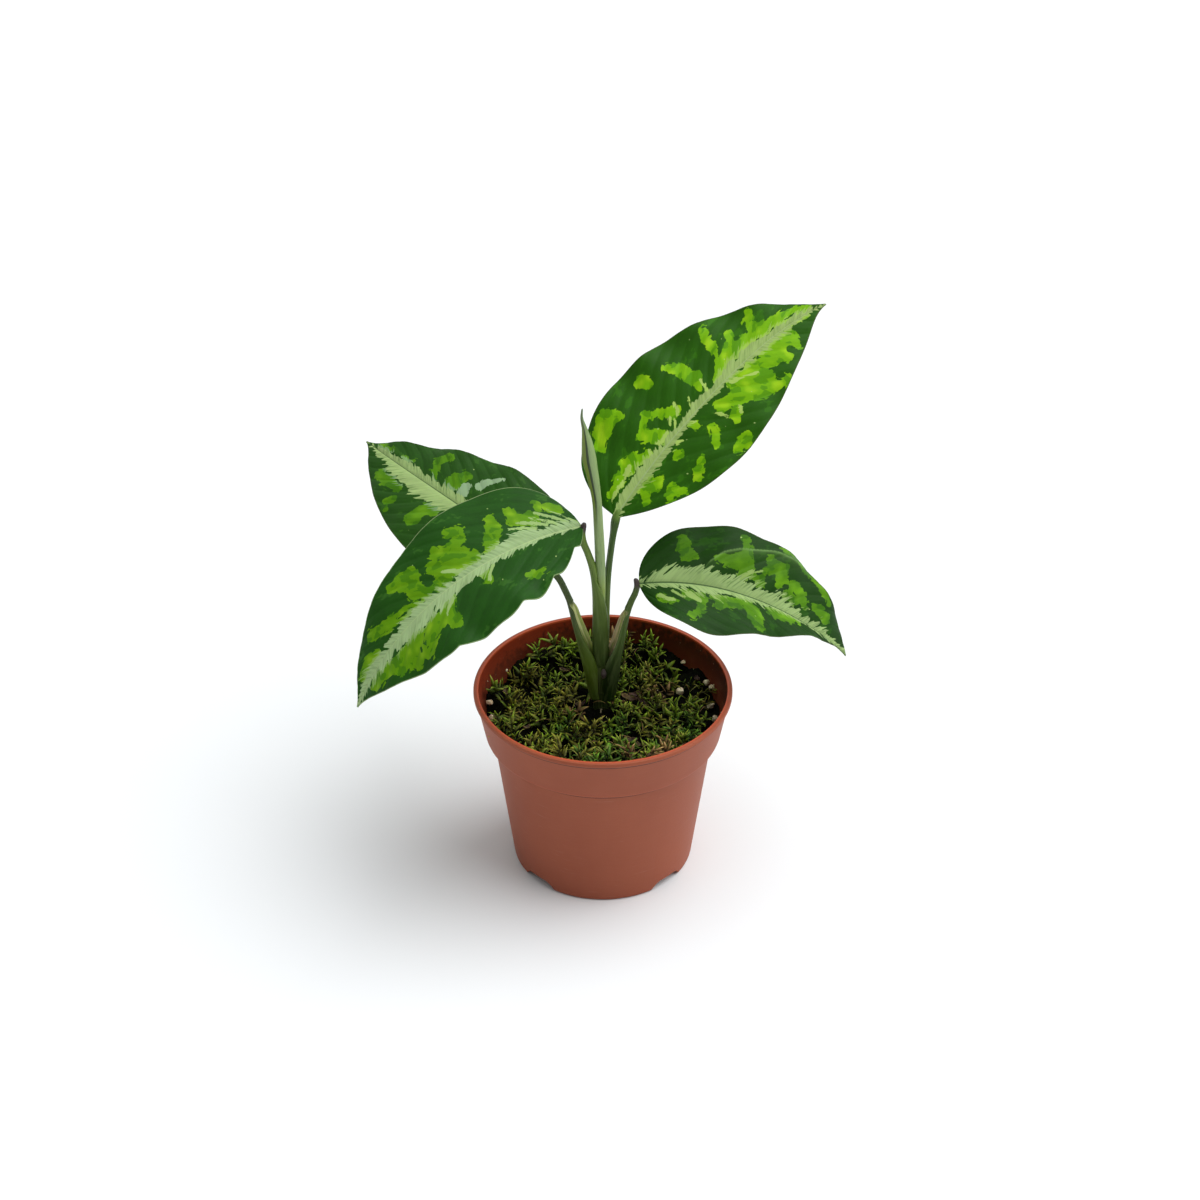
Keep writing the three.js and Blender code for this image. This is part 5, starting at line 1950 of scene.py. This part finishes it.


# Placed in millimetres along the midrib from the base, then across it with + to the
# left. A stroke's row is its radius at the start and at the end, and then its points.
UPRIGHT_MARKINGS = Markings(
    lime=strokes(
        (4.6, 1.6, 27, 25, 22, 23.5, 18, 20), (3.2, 2.0, 27, 25, 31, 22), (2.0, 2.1, 46, 24.5, 48, 21),
        (1.7, 2.5, 57, 20.5, 59, 16, 60, 11), (2.4, 0.8, 61, 9, 59, 4.5),
        (1.5, 2.3, 38, 14, 42, 10, 46, 6), (1.4, 1.2, 38, 14, 35, 12),
        (1.8, 2.9, 30, 10, 33, 8.5, 36, 3), (2.9, 1.9, 19, 7.5, 24, 5, 27, 3.5),
        (3.1, 1.2, 19, 7, 14, 6.5, 5, 6.5), (2.2, 1.0, 76, 20, 74, 18.5, 74, 12),
        (1.0, 1.6, 74, 12, 71, 6, 67, 2.5), (1.5, 2.9, 82, 13, 79, 8.5, 74, 5),
        (1.4, 2.7, 93, 15, 90, 10, 90, 7), (2.4, 3.2, 71, 4.5, 81, 6),
        (3.2, 1.0, 81, 6, 94, 5.5, 107, 4.5, 113, 2.5),
        (3.0, 3.9, 60, -6.5, 67, -8.5, 73, -11.3, 77, -12.8), (3.3, 2.0, 78, -13, 81, -15, 86, -16),
        (3.8, 3.0, 71, -4, 78, -6.6, 81, -10.5), (3.0, 2.4, 79, -4, 86, -6.5, 93, -9),
        (3.9, 2.0, 88, -3, 99, -3.5, 99, -7), (2.7, 1.4, 101, 0.5, 112, 1),
        (1.4, 2.1, 64, -12, 60, -13), (1.1, 1.7, 46.5, -1, 47.5, -4),
        (1.7, 1.3, 51, -10, 50, -12.5, 47, -14.5), (1.9, 1.9, 58, -22, 55, -22.5, 52, -23),
        (2.7, 2.7, 55, -22.5), (1.9, 1.9, 34, -6), (1.3, 1.7, 39, -14.5, 36, -16, 32, -18.5),
        (1.9, 2.3, 23, -12, 19, -14), (2.0, 0.8, 20, -14, 24.5, -17), (1.2, 3.0, 22.5, -6, 19, -5),
        (3.0, 1.5, 19, -5, 15, -3.5, 12, -7),
    ),
    holes=strokes((2.1, 2.1, 39, 8), (2.0, 2.0, 96, -8), (2.5, 2.5, 86, -12.6), (0.8, 0.8, 62.5, -9.6)),
    band_left=(
        (0, 1.8), (8, 3.0), (14, 3.0), (20, 3.4), (28, 2.4), (40, 1.8), (45, 1.6), (52, 2.8), (58, 2.8),
        (63, 1.6), (67, 2.2), (75, 4.4), (86, 4.0), (91, 2.2), (100, 2.4), (108, 1.8), (114, 0.9),
        (120, 0.3),
    ),
    band_right=(
        (0, -0.9), (10, -1.2), (19, -1.8), (26, -2.4), (40, -2.2), (47, -0.9), (53, -0.7), (60, -1.2),
        (77, -0.8), (82, -1.9), (95, -1.8), (104, -0.9), (110, -0.4), (120, -0.1),
    ),
    flames=strokes(
        (0.5, 0.7, 54, 5.8, 52.3, 3.7, 51.3, 1.6), (0.5, 0.9, 61.7, 7, 61.2, 4, 60.2, 2),
        (0.6, 0.5, 48.3, 8.5, 47.3, 5.8, 45.8, 4.2), (0.8, 0.7, 42.8, 5.9, 41.3, 4.3),
        (0.5, 0.5, 43.8, 3.7, 41.3, 1.6), (0.9, 0.8, 38.3, 3.2, 35.9, 2.6, 32.9, 2.8),
        (0.5, 0.6, 28.4, 4.4, 27.4, 2.6), (0.9, 0.7, 19, 6.6, 14, 5.2, 8, 5),
        (0.7, 0.4, 10, 5.4, 4, 4.6), (0.3, 0.5, 55.8, -6, 57.3, -8.5, 58.8, -11),
        (0.9, 0.6, 64.7, -12.3, 63.7, -13.6), (0.5, 0.7, 47.3, -1.3, 48.3, -2.3),
        (0.5, 0.8, 39.8, -3.5, 37.8, -2.6), (0.7, 0.5, 69.5, -2.6, 75, -4.5, 80, -7),
    ),
)

LEFT_MARKINGS = Markings(
    lime=strokes(
        (1.4, 1.4, 12, -15, 13, -12.5), (2.3, 2.6, 9, -12, 6, -10),
        (1.6, 3.1, 23, -17, 24, -11, 17, -9), (1.9, 3.1, 31, -17, 32, -11),
        (3.1, 2.2, 32, -11, 35, -7.5, 37, -3.5), (1.9, 2.6, 47, -21, 43, -19, 46, -14),
        (2.6, 4.0, 46, -14, 50, -11), (2.5, 4.0, 55, -16, 50, -10, 48, -9),
        (3.8, 2.6, 49, -9, 44, -4.5), (2.8, 4.1, 59, -11, 54, -7), (4.0, 2.6, 54, -7, 49, -4),
        (3.6, 3.0, 57, -6, 61, -3), (1.8, 3.6, 66, -17, 71, -16), (3.4, 1.9, 71, -16, 75, -17),
        (3.3, 3.4, 68, -13.5, 70, -8), (3.2, 2.2, 70, -8, 66, -4),
        (2.3, 2.4, 72, -3, 83, -6.5, 93, -10), (1.5, 2.6, 96, -3.5, 102, -4),
        (2.6, 1.6, 102, -4, 108, -3), (2.4, 1.7, 44, 2.5, 45, 8.5), (1.2, 1.8, 31, 14.5, 28, 16),
        (1.8, 0.9, 28, 16, 24, 15.5), (2.4, 3.7, 61, 4, 65, 9), (3.4, 2.4, 65, 9, 64.5, 15),
        (3.9, 2.7, 69, 8.5, 74, 10.5, 81, 15), (3.5, 4.2, 80, 6.5, 86, 9, 92, 8.5),
        (4.0, 2.6, 92, 8.5, 97, 5.5, 105, 3.5), (3.4, 1.7, 88, 10.5, 87, 14.5),
    ),
    holes=strokes((2.7, 2.7, 63, -7.5), (0.7, 0.5, 75, -4, 81, -5.5), (0.9, 0.9, 79, 12)),
    band_left=(
        (0, 0.7), (12, 0.9), (28, 2.2), (42, 3.0), (52, 4.0), (62, 5.0), (74, 5.0), (84, 4.6),
        (96, 3.2), (108, 1.6), (119, 0.3),
    ),
    band_right=(
        (0, -1.6), (6, -3.0), (14, -4.0), (22, -4.6), (28, -4.4), (38, -2.8), (50, -2.2), (64, -1.6),
        (76, -2.9), (90, -2.9), (102, -2.6), (112, -1.2), (119, -0.3),
    ),
    flames=strokes(
        (0.7, 0.35, 1, -2, 5, -6, 10, -11), (0.75, 0.4, 5, -3, 9, -6.5, 15, -11),
        (0.8, 0.4, 9, -3.5, 13, -6.5, 18, -9.5), (0.8, 0.4, 13, -4, 17, -6.5, 23, -9.5),
        (0.8, 0.4, 18, -4, 22, -6.5, 27, -8.5), (0.9, 0.5, 40, 3, 43, 6, 44.5, 8.5),
        (0.9, 0.5, 60, 5, 64, 8, 65.5, 9.5), (0.9, 0.4, 51, -3, 54, -5, 57, -7),
    ),
)

BACK_MARKINGS = Markings(
    lime=strokes(
        (2.4, 2.7, 64, -15, 66, -11), (2.4, 0.8, 66, -11, 64, -7.5, 60, -4),
        (3.1, 4.4, 51, -12, 52, -8), (4.2, 2.8, 52, -8, 52, -4.5), (1.8, 3.0, 84, 7.5, 77, 8),
        (2.8, 1.8, 77, 8, 71, 8), (0.9, 1.5, 70, 14.5, 68, 13), (0.9, 0.9, 67.5, 17.5),
        (2.5, 3.2, 49, 7, 53, 10, 53.5, 14.5), (3.0, 1.2, 53.5, 14.5, 54, 17),
        (1.8, 2.6, 30, 9, 34, 14, 37, 19), (2.2, 1.4, 20, 6, 24, 11, 28, 13),
        (2.0, 2.4, 24, -8, 27, -13, 25, -18), (1.6, 1.2, 12, -7, 15, -11), (1.8, 1.0, 90, -3.5, 97, -2),
        (1.4, 1.0, 76, -5, 81, -4),
    ),
    holes=strokes((1.3, 1.3, 33, 11), (1.2, 1.2, 25, -12)),
    band_left=(
        (0, 2.0), (12, 3.5), (30, 4.6), (45, 5.6), (56, 6.8), (66, 6.4), (75, 5.2), (86, 3.0),
        (96, 1.2), (105, 0.2),
    ),
    band_right=(
        (0, -2.2), (12, -3.4), (30, -4.0), (48, -4.0), (58, -2.6), (68, -3.0), (76, -3.8), (86, -2.6),
        (96, -1.2), (105, -0.2),
    ),
    flames=strokes(
        (2.2, 2.5, 45, -4, 46, -8.6), (2.2, 2.0, 41, -12.4, 40, -16),
        (1.8, 0.9, 40, -16, 37.5, -18, 35.5, -21),
    ),
)

RIGHT_MARKINGS = Markings(
    lime=strokes(
        (2.1, 1.5, 17.5, 16.5, 17, 13), (1.6, 2.7, 17, 13, 19, 11), (2.4, 1.7, 19, 11.5, 22, 11),
        (1.5, 1.7, 40, 21, 41, 17), (1.8, 2.8, 41, 17, 40.5, 14, 38, 10.5),
        (2.8, 1.3, 38, 10.5, 33, 10, 30, 10), (2.8, 2.6, 40.5, 11.5, 41, 8), (2.3, 1.4, 41, 8, 46, 7.5),
        (1.8, 2.4, 50, 15.5, 52, 13, 56, 13), (2.4, 2.2, 56, 13, 56, 9), (1.5, 2.1, 50, 11, 48.5, 6),
        (1.5, 2.6, 61.5, 9.5, 66, 9), (2.6, 2.2, 66, 9, 69, 7), (1.3, 2.1, 60, 6, 65.5, 5.5),
        (1.6, 2.2, 74.5, 7, 78, 7, 82, 6), (0.9, 2.5, 54.5, 21.5, 60, 20.5, 65, 19.5),
        (2.5, 1.2, 65, 19.5, 71, 18, 77, 15), (1.2, 0.9, 77, 15, 81, 11.5),
        (1.4, 1.9, 7.5, -8, 12, -10), (2.4, 3.0, 18.5, -6, 23.5, -8), (2.8, 1.6, 23.5, -8, 24.5, -12.5),
        (1.6, 2.0, 24.5, -12.5, 20, -17), (1.5, 3.6, 28.5, -6, 33.5, -7), (3.2, 1.8, 33.5, -7, 31, -11),
        (2.4, 2.9, 36.5, -8.5, 42, -4), (2.9, 3.6, 42, -4, 45.5, -7, 47, -12),
        (3.6, 2.6, 47, -12, 49, -17), (1.8, 3.6, 54.5, -4, 58, -4),
        (3.6, 2.6, 58, -4, 63, -3.5, 68, -1.5),
    ),
    holes=strokes(
        (1.5, 1.5, 51.5, 8), (1.4, 1.4, 33.5, -2.5), (2.0, 2.0, 20, -10.5), (1.9, 1.0, 49, -2, 53, -3),
        (1.5, 1.5, 67.5, -4.5),
    ),
    band_left=(
        (0, 1.6), (6, 4.4), (14, 6.4), (24, 6.0), (36, 5.0), (46, 4.4), (56, 3.6), (68, 2.6), (80, 2.8),
        (90, 1.4), (100, 0.2),
    ),
    band_right=(
        (0, -1.4), (10, -2.4), (18, -4.0), (26, -4.6), (36, -3.0), (46, -2.2), (58, -1.2), (72, -1.2),
        (84, -1.4), (100, -0.2),
    ),
    flames=strokes(
        (1.0, 1.2, 7.5, -7.6, 12, -9.6), (0.9, 0.6, 13, -5, 16.5, -8), (1.6, 0.9, 19.5, -6, 23, -9),
        (0.5, 0.4, 28, -5, 33, -8), (0.8, 0.4, 40, 5, 43, 8, 48, 10),
    ),
)

BLADES = (
    Blade(
        "a", (5, 7.8, 157.3), 32.5, -6, 49, 30, 119.5, 29, 32, -2, 12, 19,
        Half(1.11, 0.44, 0.86, 1.5, 5.5, 295, ruffle=0.5), Half(0.89, 0.9, 1.17, 0.7, 4.8, 224),
        bow=(1.5, 0.8),
        markings=UPRIGHT_MARKINGS,
        finish=BladeSkin("blade_upright", rib=rgb(166, 188, 132), silver=rgb(158, 184, 108),
                         flame=rgb(170, 202, 98), fray=0.4, quilled=0.18, rib_width=0.3),
        shift=3.0,
    ),
    Blade(
        "b", (-8.4, 2.6, 156.3), 205, -9, 4, 69, 119, 28.4, -20, -10, 13, 18,
        Half(0.94, 0.68, 0.98, 1.7, 4, 289, ruffle=1.4,
             notches=((0.084, 1.6), (0.19, 1.7), (0.325, 1.3), (0.58, 1.0))),
        Half(1.07, 0.43, 0.92, 0.8, 3.6, 279),
        bow=(-1.4, 0.5),
        markings=LEFT_MARKINGS,
        finish=BladeSkin("blade_left", ground=rgb(30, 76, 14), half_tone=rgb(60, 108, 34),
                         lime=rgb(92, 144, 4), bright=rgb(128, 174, 24), shaded=rgb(60, 116, 4),
                         flame=rgb(154, 186, 112), silver=rgb(158, 185, 130), fray=0.6, quilled=0.24,
                         rib=rgb(176, 198, 140), rib_width=0.3, rim=rgb(150, 170, 118)),
        shift=141.0,
    ),
    Blade(
        "c", (-27.7, 3.4, 140.8), 133, -19, 9.5, 9, 104.5, 27.5, -25, -7, 9, 21,
        Half(0.94, 0.57, 1, 0.6, 5, 222), Half(1.06, 0.33, 0.93, 1.2, 3.9, 335),
        bow=(-2.3, 0.4),
        markings=BACK_MARKINGS,
        finish=BladeSkin("blade_back", ground=rgb(34, 76, 14), half_tone=rgb(58, 104, 30),
                         lime=rgb(76, 128, 4), bright=rgb(104, 156, 20), shaded=rgb(52, 104, 4),
                         flame=rgb(140, 170, 128), silver=rgb(152, 178, 112), fray=0.55,
                         rib=rgb(62, 92, 50), rib_width=0.38),
        shift=287.0,
    ),
    Blade(
        "d", (14.3, 0.6, 130.8), 8, 7, 5.5, 64, 100.5, 24.7, 30, 1, 17, 12,
        Half(1, 0.46, 0.8, 0.9, 4.6, 216), Half(1, 0.66, 1.55, 1.8, 3.3, 289),
        bow=(-3.0, 0.64),
        crease=((0.24, 0.2), (0.267, 0.35), (0.316, 0.52), (0.383, 0.63), (0.434, 0.69), (0.512, 0.8),
                (0.575, 0.84), (0.654, 0.9)),
        markings=RIGHT_MARKINGS,
        finish=BladeSkin("blade_right", ground=rgb(24, 62, 5), half_tone=rgb(44, 92, 14),
                         lime=rgb(74, 124, 4), bright=rgb(104, 158, 16), shaded=rgb(48, 98, 4),
                         flame=rgb(140, 170, 90), silver=rgb(150, 176, 112), fray=0.8,
                         rib=rgb(52, 82, 44), rib_width=0.42),
        shift=433.0,
    ),
)


# ---- the studio


@dataclass
class Studio:
    """The pale floor, the soft lights and the camera at the photograph's angle."""

    frame_px: float = 1200.0
    focal_px: float = 2525.6
    axis_px: float = 603.0  # where the pot's axis stands in the frame
    sensor: float = 36.0
    distance: float = 1000.0
    elevation: float = 33.65
    aim_height: float = 123.45
    floor_half: float = 25.0  # in metres
    floor_colour: Colour = rgb(236, 239, 241)
    brightest: Triple = (0.15, 0.6, 0.78)  # where the surroundings are palest
    behind: float = 0.72  # their brightness there
    in_front: float = 0.1  # and on the viewer's side
    fade: Point = (-0.6, 1.0)  # how far round, as a cosine, they turn from one to the other
    sun_strength: float = 2.6
    sun_spread: float = 62.0
    sun_turn: float = 3.0  # degrees from +X towards +Y
    sun_rise: float = 60.0

    def camera(self) -> None:
        """Set up the camera."""
        data = bpy.data.cameras.new("camera")
        data.sensor_width = self.sensor
        data.lens = self.sensor * self.focal_px / self.frame_px
        camera = linked("camera", data)
        pitch = radians(self.elevation)
        aside = (self.frame_px / 2 - self.axis_px) * self.distance / self.focal_px
        back = Vector((0, -cos(pitch), sin(pitch))) * self.distance
        camera.location = (Vector((aside, 0, self.aim_height)) + back) * MM
        camera.rotation_euler = (radians(90) - pitch, 0, 0)
        bpy.context.scene.camera = camera

    def floor(self) -> None:
        """Lay the floor."""
        bm = bmesh.new()
        bmesh.ops.create_grid(bm, x_segments=1, y_segments=1, size=self.floor_half)
        floor = linked("floor", mesh_of("floor", bm))
        material = Shader("floor_white").close(self.floor_colour, 0.9, specular=0.1)
        floor.data.materials.append(material)

    def surroundings(self) -> None:
        """Set up the pale surroundings, brighter behind the plant than in front of it."""
        world = bpy.data.worlds.new("surroundings")
        world.use_nodes = True
        nodes, links = world.node_tree.nodes, world.node_tree.links
        background = nodes["Background"]
        background.inputs["Color"].default_value = (1, 1, 1, 1)
        direction = nodes.new("ShaderNodeTexCoord").outputs["Generated"]
        towards_back = nodes.new("ShaderNodeVectorMath")
        towards_back.operation = "DOT_PRODUCT"
        towards_back.inputs[1].default_value = self.brightest
        ramp = nodes.new("ShaderNodeMapRange")
        ramp.interpolation_type = "SMOOTHSTEP"
        for key, value in enumerate((*self.fade, self.in_front, self.behind), start=1):
            ramp.inputs[key].default_value = value
        links.new(direction, towards_back.inputs[0])
        links.new(towards_back.outputs["Value"], ramp.inputs[0])
        links.new(ramp.outputs[0], background.inputs["Strength"])
        bpy.context.scene.world = world

    def sun(self) -> None:
        """Set up one broad soft sun from the right."""
        data = bpy.data.lights.new("soft_sun", "SUN")
        data.energy = self.sun_strength
        data.angle = radians(self.sun_spread)
        sun = linked("soft_sun", data)
        rise = radians(self.sun_rise)
        towards = Vector((*polar(cos(rise), radians(self.sun_turn)), sin(rise)))
        sun.rotation_euler = towards.to_track_quat("Z", "Y").to_euler()
        sun.location = towards

    def build(self) -> None:
        """Build the studio."""
        self.camera()
        self.floor()
        self.surroundings()
        self.sun()
        bpy.context.scene.view_settings.view_transform = "Standard"


def main() -> None:
    """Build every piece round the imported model."""
    logging.basicConfig(level=logging.INFO, format="%(name)s %(message)s")
    Studio().build()
    pot = NurseryPot()
    pot.build(PotPlastic())
    PottingSoil().dress(PottingMix())
    grains = MineralGrains(pot)
    grains.build(MineralGrain())
    bare = [(centre.x, centre.y) for centre in grains.centres()]
    MossCarpet(pot, bare + [(chip[0], chip[1]) for chip in grains.chips]).build()
    LeafScraps().build()
    LooseThreads(pot, MossTone.DRY, seed=71, count=70).build()
    LooseThreads(pot, MossTone.STRAW, seed=29, count=60).build()

    cane = Cane()
    cane.build(StemSkin("stem_column", rgb(34, 46, 8), rgb(84, 104, 40)))
    cane.small_parts(StemSkin("stem_pale", rgb(150, 132, 110), rgb(150, 132, 118)))
    for stalk, finish in STALKS:
        stalk.build(finish)
    RolledLeaf().build(RolledLeafSkin())
    for blade in BLADES:
        blade.build()


if __name__ == "__main__":
    main()
